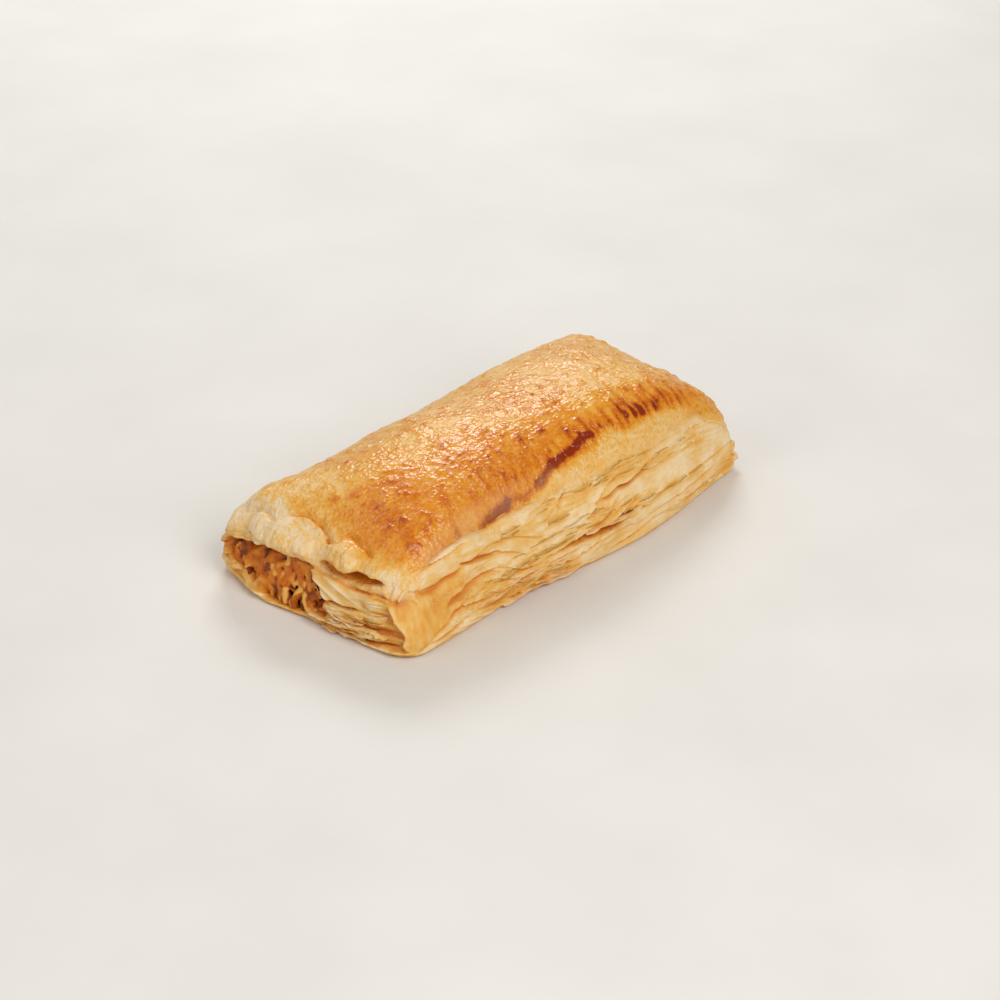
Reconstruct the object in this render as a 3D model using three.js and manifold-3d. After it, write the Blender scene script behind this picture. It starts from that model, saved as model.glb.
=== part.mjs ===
// A baked puff pastry parcel: laminated dough folded over a bar of turkey filling.
// Units are millimetres and +Z is up. The parcel rests on the plane z = 0.
// X runs along the parcel, from the open end at -X to the open end at +X.
// Y runs across it, from the sealed side of flaky layers at -Y to the smooth fold at +Y.

import * as THREE from 'three';
import { mergeVertices } from 'three/addons/utils/BufferGeometryUtils.js';
import Module from 'manifold-3d';

// Driving dimensions of the parcel
const LENGTH = 142; // between the corners of the two ends
const WIDTH = 79; // between the corners of the two long sides
const HEIGHT = 40.5; // crown above the resting face
const SHEETS = 7; // sheets of dough that show as ledges on a wall

// How far the plan outline leaves the rectangle of its corners
const NEAR_BOW = 6;
const NEAR_NOSE = { reach: 2.5, y: 13, width: 14 }; // extra bow in front of the filling
const NEAR_CORNER = { reach: 4.5, y: 33, z: 11, width: 8, height: 8 }; // fullness beside the fold
const END_SQUARENESS = 3.5; // higher keeps an end straighter towards its corners
const FAR_REACH = 2.5;
const FAR_BOW = 1.5;
const SEALED_BOW = { reach: 5, x: 22, width: 34 };
const FOLD_BOW = 1.5;
const CORNER_ROUNDING = 0.8;

// How far each wall leans in between the resting face and its own top edge
const SEALED_LEAN = 8;
const FOLD_LEAN = 1.5;
const NEAR_LEAN = 5;
const FAR_LEAN = 4;
const BASE_TUCK = 1.2; // rounding of the resting face's edge

// Crown of the crust: where it is highest, and how far its curve has run at each wall
const CROWN_U = { low: -0.15, high: 0.1 };
const CROWN_V = -0.12;
const CROWN_RUN = { near: 0.93, far: 0.9, sealed: 0.8, fold: 0.94 };
const CORNER_FULLNESS = 4; // higher keeps the corners of the crust boxier

// Swellings of the crust: a raised far corner and a full shoulder over the near end's filling
const SWELLINGS = [
  { height: 2.5, x: 68, y: 20, radius: 11 },
  { height: 3.5, x: -66, y: 30, radius: 14 },
];
const UNEVEN_CRUST = 0.7;

// Relief of the layers
const LEDGE_REACH = 1.4; // how unevenly the sheets stand out
const JOINT_DEPTH = 1.7; // cut between two sheets
const FOLD_RELIEF = 0.25; // share of that relief on the smooth fold
const SHEET_WARP = 0.5; // how far a sheet wanders up and down, as a share of its height
const SHEET_ROWS = [0, 0.24, 0.76]; // joint and two shoulders, as shares of a sheet
const LIP = { reach: 2.6, sheet: 5, from: -0.25, to: 0.95 }; // rolled edge over the filling

// Bar of filling: its section, its place in the folded half, and its lumps
const FILLING = { width: 34, height: 13.5, y: 12.5, z: 9.4, recess: 2.2 };
const FILLING_LEVEL = 0.4; // height of the filling's middle, as a share of the end wall
const FILLING_LUMP = 1.1;
const TUNNEL_GAP = 0.4; // clearance between the lumps and the dough
const MOUTH = { y: 12.5, z: 9.2, width: 20, height: 7.8, depth: 8 }; // half sizes

// Pockets where the sheets have parted: centre, half sizes and tilt in degrees.
// On the sealed side a pocket runs along X, and on the ends along Y.
const SIDE_POCKETS = [
  { x: 6, z: 10.2, length: 17, depth: 5, gap: 1.5, tilt: 0 },
  { x: 16, z: 20, length: 15, depth: 4.5, gap: 1.3, tilt: 6 },
  { x: -38, z: 17.5, length: 9, depth: 4, gap: 1.3, tilt: -4 },
  { x: -49, z: 12, length: 8, depth: 4.5, gap: 2, tilt: 12 },
  { x: 48, z: 13, length: 9, depth: 4, gap: 1.2, tilt: 3 },
];
const END_POCKETS = [
  { y: -15, z: 19, length: 12, depth: 7, gap: 2, tilt: 6 },
  { y: -29, z: 9.5, length: 6.5, depth: 6, gap: 2.2, tilt: -8 },
  { y: -19, z: 4, length: 10, depth: 5, gap: 0.9, tilt: 3 },
];

// Mesh density
const CRUST_SEGMENTS = { along: 40, across: 22 };
const FILLING_SEGMENTS = { along: 26, across: 12, up: 7 };
const TUNNEL_SEGMENTS = { along: 6, across: 8, up: 6 };
const POCKET_SEGMENTS = { around: 14, down: 8 };
const MERGE_DISTANCE = 1e-4;

const X_AXIS = new THREE.Vector3(1, 0, 0);
const Y_AXIS = new THREE.Vector3(0, 1, 0);

const wasm = await Module();
wasm.setup();

const bell = (distance, width) => Math.exp(-((distance / width) ** 2));
const positive = (value) => Math.max(0, value);

// A steady unevenness between -1 and 1 that differs from one seed to the next.
function unevenness(s, t, seed) {
  const slow = Math.sin(s * 0.083 + seed * 2.4) * Math.cos(t * 0.117 + seed * 1.7);
  const quick = Math.sin(s * 0.21 - seed * 3.1 + t * 0.16) * Math.cos(t * 0.29 - seed);
  return 0.6 * slow + 0.4 * quick;
}

// Falls from 1 at the crown to the height of a wall's top edge, as run goes from 0 to 1.
function crownCurve(run, power, root) {
  return (1 - run ** power) ** root;
}

// Height of the crust at u (along) and v (across), both from -1 to 1.
function crustHeight(u, v) {
  const toNear = (positive(CROWN_U.low - u) / (1 + CROWN_U.low)) * CROWN_RUN.near;
  const toFar = (positive(u - CROWN_U.high) / (1 - CROWN_U.high)) * CROWN_RUN.far;
  const toSealed = (positive(CROWN_V - v) / (1 + CROWN_V)) * CROWN_RUN.sealed;
  const toFold = (positive(v - CROWN_V) / (1 - CROWN_V)) * CROWN_RUN.fold;
  const along = crownCurve(toNear, 2.4, 0.42) * crownCurve(toFar, 2.6, 0.4);
  const across = crownCurve(toSealed, 2.6, 0.5) * crownCurve(toFold, 1.75, 0.6);
  const joined = (along ** -CORNER_FULLNESS + across ** -CORNER_FULLNESS - 1) ** (-1 / CORNER_FULLNESS);
  const x = (u * LENGTH) / 2;
  const y = (v * WIDTH) / 2;
  const swelling = SWELLINGS.reduce((sum, swell) => (
    sum + swell.height * bell(x - swell.x, swell.radius) * bell(y - swell.y, swell.radius)), 0);
  return HEIGHT * joined + swelling + UNEVEN_CRUST * unevenness(x, y * 1.6, 1);
}

// Takes a point of the box (u, v from -1 to 1, w from 0 at the base to 1) to the bare form.
function formPoint(u, v, w) {
  const lean = w ** 1.6;
  const tuck = BASE_TUCK * (1 - w) ** 8;
  const flatX = (u * LENGTH) / 2;
  const flatY = (v * WIDTH) / 2;
  const endCurve = 1 - Math.abs(v) ** END_SQUARENESS;
  const nose = NEAR_NOSE.reach * bell(flatY - NEAR_NOSE.y, NEAR_NOSE.width);
  const height = crustHeight(u, v);
  const upCorner = bell(w * height - NEAR_CORNER.z, NEAR_CORNER.height);
  const corner = NEAR_CORNER.reach * bell(flatY - NEAR_CORNER.y, NEAR_CORNER.width) * upCorner;
  const nearBow = NEAR_BOW * endCurve + nose + corner;
  const farBow = FAR_REACH + FAR_BOW * endCurve;
  const sealedBow = SEALED_BOW.reach * bell(flatX - SEALED_BOW.x, SEALED_BOW.width);
  const foldBow = FOLD_BOW * (1 - u * u);
  const endTuck = tuck + CORNER_ROUNDING * Math.abs(v) ** 10;
  const sideTuck = tuck + CORNER_ROUNDING * Math.abs(u) ** 12;
  const near = positive(-u) ** 4 * (NEAR_LEAN * lean - nearBow + endTuck);
  const far = positive(u) ** 4 * (FAR_LEAN * lean - farBow + endTuck);
  const sealed = positive(-v) ** 3 * (SEALED_LEAN * lean - sealedBow + sideTuck);
  const fold = positive(v) ** 3 * (FOLD_LEAN * lean - foldBow + sideTuck);
  const warp = (SHEET_WARP / SHEETS) * Math.sin(Math.PI * w) * unevenness(flatX - flatY, w * 60, 7);
  return new THREE.Vector3(flatX + near - far, flatY + sealed - fold, (w + warp) * height);
}

// How far the edge of one sheet stands out of a wall, with the joint below it cut back.
function ledge(sheet, share, along) {
  const reach = LEDGE_REACH * unevenness(along * 1.3, sheet * 19, sheet);
  const atJoint = share === 0 && sheet > 0;
  const joint = JOINT_DEPTH * (0.6 + 0.6 * unevenness(along, sheet * 7, 5));
  return atJoint ? reach - joint : reach;
}

// Moves a point of a wall out by the relief of its sheet. The fold is smoother than the rest.
function addRelief(point, u, v, sheet, share) {
  const outX = Math.abs(u) === 1 ? Math.sign(u) : 0;
  const outY = Math.abs(v) === 1 ? Math.sign(v) : 0;
  const out = new THREE.Vector3(outX, outY, 0).normalize();
  const along = outX === 0 ? point.x : point.y + LENGTH * outX;
  const strength = outY === 1 ? FOLD_RELIEF : 1;
  const onLip = outX !== 0 && sheet >= LIP.sheet && v > LIP.from && v < LIP.to;
  const lip = onLip ? LIP.reach : 0;
  point.addScaledVector(out, strength * ledge(sheet, share, along) + lip);
}

// Box of the crust, with its wall rows placed on the joints and shoulders of the sheets.
function crustGeometry() {
  const rows = SHEETS * SHEET_ROWS.length;
  const box = new THREE.BoxGeometry(2, 2, rows, CRUST_SEGMENTS.along, CRUST_SEGMENTS.across, rows);
  const merged = toMergedGeometry(box);
  const position = merged.getAttribute('position');
  for (let i = 0; i < position.count; i += 1) {
    const u = position.getX(i);
    const v = position.getY(i);
    const row = Math.round(position.getZ(i) + rows / 2);
    const sheet = Math.floor(row / SHEET_ROWS.length);
    const share = SHEET_ROWS[row % SHEET_ROWS.length];
    const point = formPoint(u, v, (sheet + share) / SHEETS);
    const onWall = row > 0 && row < rows;
    if (onWall) addRelief(point, u, v, sheet, share);
    position.setXYZ(i, point.x, point.y, point.z);
  }
  return merged;
}

// Rounded bar along X, lumpy all over. Its two ends may change across the bar.
function barGeometry({ nearEnd, farEnd, width, height, lump, segments }) {
  const box = new THREE.BoxGeometry(2, 2, 2, segments.along, segments.across, segments.up);
  const merged = toMergedGeometry(box);
  const position = merged.getAttribute('position');
  for (let i = 0; i < position.count; i += 1) {
    const u = position.getX(i);
    const v = position.getY(i);
    const w = position.getZ(i);
    const y = v * Math.sqrt(1 - (w * w) / 2) * (width / 2);
    const z = w * Math.sqrt(1 - (v * v) / 2) * (height / 2);
    const x = THREE.MathUtils.lerp(nearEnd(FILLING.y + y), farEnd(FILLING.y + y), (u + 1) / 2);
    const bump = lump * unevenness(x * 2.6 + y * 1.4, y * 3.1 + z * 2.2, 3);
    const outward = new THREE.Vector3(Math.abs(u) === 1 ? u : 0, y / width, z / height).normalize();
    const point = new THREE.Vector3(x, FILLING.y + y, FILLING.z + z).addScaledVector(outward, bump);
    position.setXYZ(i, point.x, point.y, point.z);
  }
  return merged;
}

// Flattened ellipsoid for a place where two sheets have parted.
function pocketGeometry(halfSize, centre, axis, tilt) {
  const ball = new THREE.SphereGeometry(1, POCKET_SEGMENTS.around, POCKET_SEGMENTS.down);
  ball.scale(halfSize.x, halfSize.y, halfSize.z);
  ball.applyMatrix4(new THREE.Matrix4().makeRotationAxis(axis, THREE.MathUtils.degToRad(tilt)));
  ball.translate(centre.x, centre.y, centre.z);
  return toMergedGeometry(ball);
}

// Leaves only positions, and joins the vertices that lie together.
function toMergedGeometry(geometry) {
  geometry.deleteAttribute('normal');
  geometry.deleteAttribute('uv');
  return mergeVertices(geometry, MERGE_DISTANCE);
}

function toSolid(geometry) {
  return new wasm.Manifold(new wasm.Mesh({
    numProp: 3,
    vertProperties: new Float32Array(geometry.getAttribute('position').array),
    triVerts: new Uint32Array(geometry.index.array),
  }));
}

function toGeometry(solid) {
  const mesh = solid.getMesh();
  const geometry = new THREE.BufferGeometry();
  geometry.setAttribute('position', new THREE.BufferAttribute(mesh.vertProperties, 3));
  geometry.setIndex(new THREE.BufferAttribute(mesh.triVerts, 1));
  geometry.computeVertexNormals();
  return geometry;
}

// The way right through the dough that the filling lies in.
function tunnelGeometry() {
  const clearance = 2 * (FILLING_LUMP + TUNNEL_GAP);
  return barGeometry({
    nearEnd: () => -LENGTH,
    farEnd: () => LENGTH,
    width: FILLING.width + clearance,
    height: FILLING.height + clearance,
    lump: 0,
    segments: TUNNEL_SEGMENTS,
  });
}

// Wider openings of the tunnel at the two ends.
function mouthGeometries() {
  const halfSize = new THREE.Vector3(MOUTH.depth, MOUTH.width, MOUTH.height);
  return [-1, 1].map((end) => {
    const centre = new THREE.Vector3(formPoint(end, 0, 0).x, MOUTH.y, MOUTH.z);
    return pocketGeometry(halfSize, centre, X_AXIS, 0);
  });
}

function sidePocketGeometry(pocket) {
  const wall = formPoint((2 * pocket.x) / LENGTH, -1, pocket.z / HEIGHT);
  const halfSize = new THREE.Vector3(pocket.length, pocket.depth, pocket.gap);
  return pocketGeometry(halfSize, new THREE.Vector3(pocket.x, wall.y, pocket.z), Y_AXIS, pocket.tilt);
}

function endPocketGeometry(pocket, end) {
  const wall = formPoint(end, (2 * pocket.y) / WIDTH, pocket.z / HEIGHT);
  const halfSize = new THREE.Vector3(pocket.depth, pocket.length, pocket.gap);
  return pocketGeometry(halfSize, new THREE.Vector3(wall.x, pocket.y, pocket.z), X_AXIS, pocket.tilt);
}

function makePastry() {
  const hollows = [
    tunnelGeometry(),
    ...mouthGeometries(),
    ...SIDE_POCKETS.map(sidePocketGeometry),
    ...END_POCKETS.flatMap((pocket) => [endPocketGeometry(pocket, -1), endPocketGeometry(pocket, 1)]),
  ];
  const crust = toSolid(crustGeometry());
  const dough = hollows.reduce((solid, hollow) => solid.subtract(toSolid(hollow)), crust);
  const material = new THREE.MeshStandardMaterial({ color: 0xdca458, roughness: 0.55, metalness: 0 });
  const mesh = new THREE.Mesh(toGeometry(dough), material);
  mesh.name = 'pastry';
  return mesh;
}

function makeFilling() {
  const bar = barGeometry({
    nearEnd: (y) => formPoint(-1, (2 * y) / WIDTH, FILLING_LEVEL).x + FILLING.recess,
    farEnd: (y) => formPoint(1, (2 * y) / WIDTH, FILLING_LEVEL).x - FILLING.recess,
    width: FILLING.width,
    height: FILLING.height,
    lump: FILLING_LUMP,
    segments: FILLING_SEGMENTS,
  });
  const material = new THREE.MeshStandardMaterial({ color: 0xb26c29, roughness: 0.5, metalness: 0 });
  const mesh = new THREE.Mesh(bar, material);
  mesh.name = 'filling';
  return mesh;
}

// The origin is under the middle of the parcel, on the surface that it rests on.
const parcel = new THREE.Group();
const pastry = makePastry();
parcel.add(pastry, makeFilling());
const bounds = new THREE.Box3().setFromObject(pastry);
const middle = bounds.getCenter(new THREE.Vector3());
parcel.position.set(-middle.x, -middle.y, -bounds.min.z);

export default new THREE.Group().add(parcel);
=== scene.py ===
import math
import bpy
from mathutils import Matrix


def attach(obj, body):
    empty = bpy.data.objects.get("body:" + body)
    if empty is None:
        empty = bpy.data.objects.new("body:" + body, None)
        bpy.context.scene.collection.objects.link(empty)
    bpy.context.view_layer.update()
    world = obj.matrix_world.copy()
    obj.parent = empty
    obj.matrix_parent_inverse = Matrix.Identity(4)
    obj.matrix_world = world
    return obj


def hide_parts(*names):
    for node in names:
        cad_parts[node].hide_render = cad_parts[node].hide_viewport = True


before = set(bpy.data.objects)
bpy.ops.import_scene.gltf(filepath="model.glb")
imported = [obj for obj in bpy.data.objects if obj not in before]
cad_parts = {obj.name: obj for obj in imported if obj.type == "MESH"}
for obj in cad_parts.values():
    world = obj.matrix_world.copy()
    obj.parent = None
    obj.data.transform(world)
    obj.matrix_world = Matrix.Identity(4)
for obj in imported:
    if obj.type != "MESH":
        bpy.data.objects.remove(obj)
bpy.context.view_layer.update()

# Looks of a baked puff pastry parcel: laminated dough folded over a bar of turkey filling.
# The dough and the filling are worked out as fields over a grid, in millimetres, and meshed from them.
# A field is positive inside the food and negative outside it, about as large as the distance in mm.
# X runs along the parcel from its near end, Y across it from the sealed side to the fold, and Z up.

from types import SimpleNamespace as Named

import bmesh
import bpy
import numpy as np
import openvdb
from mathutils import Vector

MM = 0.001


def table(keys, *rows):
    """One set of named values for each row."""
    return [Named(**dict(zip(keys.split(), row))) for row in rows]


# Driving dimensions of the bare form, as in the solid (mm)
FORM_ORIGIN = np.array([1.09, 1.79, 0.0])  # middle of the form's corners, in the part's frame
LENGTH, WIDTH, HEIGHT = 142.0, 79.0, 40.5
NEAR_BOW = 6.0
END_SQUARENESS = 3.5
NEAR_NOSE = Named(reach=2.5, y=13.0, width=14.0)
FAR_REACH, FAR_BOW = 2.5, 1.5
SEALED_BOW = Named(reach=5.0, x=22.0, width=34.0)
FOLD_BOW = 1.5
LEAN = {"sealed": 8.0, "fold": 1.5, "near": 5.0, "far": 4.0}
BASE_TUCK = 1.2
CROWN_U = Named(low=-0.15, high=0.1)
CROWN_V = -0.12
CROWN_RUN = Named(near=0.93, far=0.9, sealed=0.8, fold=0.94)
CORNER_FULLNESS = 4.0
SWELLINGS = table("height x y radius", (2.5, 68.0, 20.0, 11.0), (3.5, -66.0, 30.0, 14.0))
NEAR_CORNER = Named(reach=4.5, y=33.0, z=11.0, width=8.0, height=8.0)  # fullness by the fold
CORNER_RADIUS = 5.0
SHOULDER_RADIUS = 4.0
BASE_RADIUS = 1.6

# Grid that the fields are worked out on (mm)
GRID_LOW = np.array([-82.0, -47.5, -1.6])
GRID_HIGH = np.array([79.0, 44.0, 44.4])
CELL = np.array([0.4, 0.4, 0.3]) * 1.0
FAR_OUTSIDE = 4.0

# Relief of the crust
BLISTERS = Named(count=700, x=(-62, 68), y=(-30, 32), radius=(0.45, 0.95), height=(0.12, 0.45))
STROKES = Named(first=-28, last=56, pitch=3.1, width=0.85, depth=0.35)  # short lines along the shoulder
CRINKLE = 0.16
GLAZE_RIDGE = 0.4  # how far the pooled glaze stands up
LIP_WRINKLES = 0.12  # fine upright wrinkles in the stretched dough of the lips
CRUST_DEPTH = Named(top=3.2, wall=2.4)  # thickness of the crust's own piece
PIECE_OVERLAP = 0.5  # how far the layers reach into the crust
CRUST_EDGE = Named(sealed=1.0, ends=0.9)  # share of the wall's height where the smooth crust starts
CRUST_FADE = 0.1  # share of that height over which the sheets die out in the crust

# Sheets of dough that show on the walls
SHEETS = 17
SHEET_WARP = 0.8  # how far a sheet wanders, as a share of its own height
REACH = Named(broad=0.42, fine=0.28, ragged=0.16)  # how unevenly the sheets stand out
JOINT = Named(least=0.1, most=0.9, width=0.28)
LEAF_EDGE = 0.4  # thin leaf that stands out along the upper edge of a sheet
FLAKINESS = 0.2  # small flat flakes all over the sheets
BASE_SHEET = 2.2  # height of the lowest sheet, which runs on unbroken
# Share of the relief of the sheets that is lost in the crust, the fold, the lowest sheet and smooth dough
CALM = Named(crust=0.88, fold=0.88, base=0.7, smooth=0.85)
# Sealed side: fewer and longer sheets that overlap like shingles, and thinner ones here and there on them
SIDE = Named(sheets=8, warp=0.9, bulge=0.75, lip=0.65, cut=1.5, grain=0.06)
SIDE_THIN = Named(sheets=21, warp=2.0, stand=0.32)

# Dark glaze along the sealed shoulder: its line, its runs along x, and its drops
GLAZE_LINE = Named(y=-30.3, slant=0.04)
GLAZE_RUNS = table(
    "start end width strength",
    (-38.0, -23.0, 1.2, 0.85),
    (-23.0, -14.0, 0.8, 0.6),
    (-14.0, 13.5, 1.05, 1.0),
)
GLAZE_DROPS = table(
    "x y size strength",
    (-61.0, -33.0, 1.3, 0.45),
    (-52.0, -32.5, 1.5, 0.5),
    (-45.5, -31.8, 1.6, 0.65),
    (17.0, -29.4, 0.9, 0.8),
    (24.5, -29.6, 0.8, 0.6),
    (28.5, -30.2, 0.9, 0.8),
    (31.5, -30.6, 1.2, 0.85),
    (35.0, -30.8, 1.3, 0.95),
    (41.0, -31.0, 1.2, 0.85),
    (47.0, -31.0, 0.9, 0.5),
)

# Pockets where the sheets have parted: centre, half sizes and tilt in degrees
POCKET = "along z length depth gap tilt"
SIDE_POCKETS = table(
    POCKET,
    (6.0, 9.6, 18.0, 4.5, 1.0, 1.5),
    (17.0, 19.0, 14.0, 2.0, 0.6, 5.0),
    (-41.0, 18.5, 8.0, 2.0, 0.9, -6.0),
    (-49.0, 12.0, 8.0, 2.4, 1.1, 12.0),
    (-62.0, 17.2, 7.0, 1.4, 0.6, -3.0),
    (-57.0, 3.6, 10.0, 1.2, 0.45, 3.0),
)
END_POCKETS = table(
    POCKET,
    (-14.0, 18.0, 12.0, 8.0, 1.8, -6.0),
    (-25.5, 9.2, 4.0, 4.0, 1.0, -14.0),
    (-24.0, 3.0, 11.0, 4.0, 0.55, 2.0),
    (-12.0, 5.4, 9.0, 4.0, 0.55, -3.0),
    (-26.0, 6.4, 8.0, 3.0, 0.5, 4.0),
    (-13.0, 9.2, 7.0, 3.5, 0.6, -4.0),
)
CAVITY = END_POCKETS[0]  # the deep one under the lip

# Smooth flap of dough round the near corner of the sealed side, from x = root to the corner. Its free edge
# climbs over the end from y = foot, and beside it, up to y = run, the end is set back. Its lower edge rises
# along the side, and a groove runs along its top and under that edge
FLAP = Named(root=-47.0, low=2.0, high=16.5, rise=0.36, groove=0.9, folds=0.3)
FLAP_EDGE = Named(foot=-38.5, climb=0.8, ridge=0.8, run=-24.0, recess=1.2)
# Frill of upright folds where an end meets the sealed side
FRILL = Named(y=-31.5, width=4.0, z=20.0, height=6.0, pitch=2.3, depth=0.9)
# Smooth sheet that hangs beside the mouth, with the ridges that run down it, from (y, z) to (y, z)
CURTAIN = Named(y=-8.0, width=13.0, z=12.5, height=4.6, ridge=0.7, thin=0.5)
CURTAIN_RIDGES = [((5.0, 15.6), (-17.0, 9.2)), ((0.0, 13.0), (-11.0, 8.2)), ((-6.0, 15.4), (-20.0, 11.8))]
# Cracks across the crust behind the lips: x, range of y, bow, depth and half width
CRACKS = table(
    "x low high bow depth width",
    (-68.5, -4.0, 14.0, 2.0, 2.2, 0.5),
    (-71.0, 16.0, 28.0, 1.0, 1.4, 0.5),
    (-66.5, -18.0, -6.0, 2.0, 1.8, 0.5),
    (67.5, -22.0, 4.0, -2.0, 2.4, 0.55),
)
# Puffed lips of the crust over the open ends: centre and half sizes, out from the wall
END_LIPS = table(
    "y z inset x width height",
    (12.0, 20.2, 3.8, 6.2, 15.0, 4.2),
    (29.0, 16.5, 4.0, 5.0, 9.0, 3.2),
    (-10.0, 21.4, 4.0, 6.2, 7.5, 3.6),
    (-23.0, 20.5, 3.8, 4.6, 6.0, 3.6),
)

# Bar of filling, and the way through the dough that it lies in
FILLING = Named(y=12.5, z=9.0, width=17.4, height=7.4)  # centre and half sizes
FILLING_RECESS = Named(low=2.4, high=4.5)  # behind the end walls, at the base and under the lip
FILLING_LUMPS = 1.2
FILLING_FLOOR = 0.7
STRANDS = 90  # shreds that show at each end
STRAND_SHADES = [0.15, 0.3, 0.42, 0.55, 0.75, 1.0]
TUNNEL = Named(width=17.8, height=7.6, power=2.4, floor=1.6)
TAPER = Named(start=9.0, end=29.0, share=0.4, rise=1.6)  # how the bar thins towards the fold
MOUTH = Named(wider=0.9, higher=0.8, run=9.0)  # how the tunnel changes towards its mouths

# Thin loose leaves that stand out of the walls: how many, ranges of length and reach, how high up the
# wall they may lie, as a share of it, and how far they keep from its corners
LEAVES = {
    "sealed": Named(count=14, length=(18.0, 44.0), reach=(0.3, 0.8), up=(0.05, 0.8), clear=8.0),
    "near": Named(count=34, length=(5.0, 16.0), reach=(0.4, 1.0), up=(0.05, 0.36), clear=9.0),
    "far": Named(count=34, length=(5.0, 16.0), reach=(0.2, 0.5), up=(0.05, 0.6), clear=11.0),
}
LEAF_ROOT = 1.2  # how far inside the wall a leaf starts
LEAF_THICKNESS = Named(root=0.4, tip=0.06)
LEAF_STEPS = Named(along=26, out=3)

# Thin sheets that lie against the walls and come loose along their lower edge: how many, ranges of length,
# height and lift of the loose edge, range along the wall, and how high up they reach as a share of it
LOOSE = {
    "sealed": Named(
        count=64, length=(16.0, 60.0), height=(2.5, 8.0), lift=(0.15, 0.6), along=(-50.0, 64.0), top=0.9
    ),
    "near": Named(
        count=70, length=(4.0, 13.0), height=(1.2, 3.2), lift=(0.2, 0.6), along=(-33.0, 36.0), top=0.98
    ),
    "far": Named(
        count=60, length=(5.0, 16.0), height=(1.3, 3.6), lift=(0.2, 0.6), along=(-33.0, 36.0), top=0.96
    ),
}
HOLLOW_DEPTH = 3.0  # where the dough lies deeper than this behind its wall, sheets hang over it
SURFACE_PASSES = 6  # how often a wall's surface is smoothed before sheets are laid on it
LOOSE_ROOT = 0.5  # how far the upper edge of such a sheet is sunk into the wall
LOOSE_THICKNESS = Named(edge=0.03, root=0.35)
LOOSE_STEPS = Named(along=40, up=4)
ANY_PHASE = (0.0, 6.3)

# Painted shade: how golden the dough is painted under the loose edge of a sheet, where it faces down, and
# behind a leaf or sheet, where shade falls
EDGE_SHADE = 0.5
UNDERSIDE_SHADE = Named(crust=0.25, layers=0.6)
BEHIND_SHADE = 0.6
WALL_BROWNING = 0.16  # of the crust that is turned down over a wall

TRIANGLES = {"glazed_crust": 190000, "dough_layers": 190000, "shredded_filling": 70000}


# Small helpers for numbers and fields

def bell(distance, width):
    return np.exp(-((distance / width) ** 2))


def fade(distance, reach):
    return np.exp(-distance / reach)


def ease(low, high, value):
    """Goes smoothly from 0 at low to 1 at high."""
    t = np.clip((value - low) / (high - low), 0.0, 1.0)
    return t * t * (3.0 - 2.0 * t)


def smooth_min(a, b, radius):
    near = np.maximum(radius - np.abs(a - b), 0.0) / radius
    return np.minimum(a, b) - near * near * radius / 4.0


def smooth_max(a, b, radius):
    return -smooth_min(-a, -b, radius)


def knot_weights(points, spacing, count):
    """Cubic spline weights that spread a row of random knots over the points."""
    place = (points - points[0]) / spacing
    knot = np.floor(place).astype(int)
    t = place - knot
    shares = [(1 - t) ** 3, 3 * t**3 - 6 * t**2 + 4, -3 * t**3 + 3 * t**2 + 3 * t + 1, t**3]
    weights = np.zeros((len(points), count), dtype=np.float32)
    rows = np.arange(len(points))
    for offset, share in enumerate(shares):
        weights[rows, knot + offset] += share / 6.0
    return weights


def noise(axes, spacings, seed):
    """Smooth random field over the axes, with mean 0 and spread 1, from knots with such spacings in mm."""
    counts = [int((axis[-1] - axis[0]) / spacing) + 5 for axis, spacing in zip(axes, spacings)]
    field = np.random.default_rng(seed).standard_normal(counts, dtype=np.float32)
    for place, (axis, spacing, count) in enumerate(zip(axes, spacings, counts)):
        weights = knot_weights(axis, spacing, count)
        field = np.moveaxis(np.tensordot(weights, field, (1, place)), 0, place)
    return np.ascontiguousarray((field - field.mean()) / field.std())


def sample(field, points, low, cell):
    """Values of a grid field at points, blended between the grid's own points."""
    place = (points - low) / cell
    limit = np.array(field.shape) - 1.001
    place = np.clip(place, 0.0, limit)
    base = np.floor(place).astype(int)
    share = place - base
    total = np.zeros(len(points))
    for corner in np.ndindex(*(2,) * field.ndim):
        weight = np.ones(len(points))
        for axis, step in enumerate(corner):
            weight *= share[:, axis] if step else 1.0 - share[:, axis]
        total += weight * field[tuple((base + corner).T)]
    return total


def values_at(field, places):
    """Values at places of a field over the whole grid, or of one that is seen from above."""
    axes = field.ndim
    return sample(field, places[:, :axes], GRID_LOW[:axes], CELL[:axes])


# Lines and planes of the grid

AXES = [np.arange(low, high, cell, dtype=np.float32) for low, high, cell in zip(GRID_LOW, GRID_HIGH, CELL)]
XS, YS, ZS = AXES
PLAN = [XS, YS]
SIDE_WALL = [XS, ZS]
X2, Y2 = np.meshgrid(XS, YS, indexing="ij")
X3, Y3, Z3 = XS[:, None, None], YS[None, :, None], ZS[None, None, :]


# Bare form of the parcel

def near_bow(v):
    nose = NEAR_NOSE.reach * bell(v * WIDTH / 2 - NEAR_NOSE.y, NEAR_NOSE.width)
    return NEAR_BOW * (1 - np.abs(v) ** END_SQUARENESS) + nose


def far_bow(v):
    return FAR_REACH + FAR_BOW * (1 - np.abs(v) ** END_SQUARENESS)


def sealed_bow(u):
    return SEALED_BOW.reach * bell(u * LENGTH / 2 - SEALED_BOW.x, SEALED_BOW.width)


def fold_bow(u):
    return FOLD_BOW * (1 - u * u)


def plan_shares(x, y):
    """Places along and across as shares from -1 to 1, before the walls bow and lean."""
    return np.clip(2 * x / LENGTH, -1, 1), np.clip(2 * y / WIDTH, -1, 1)


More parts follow.
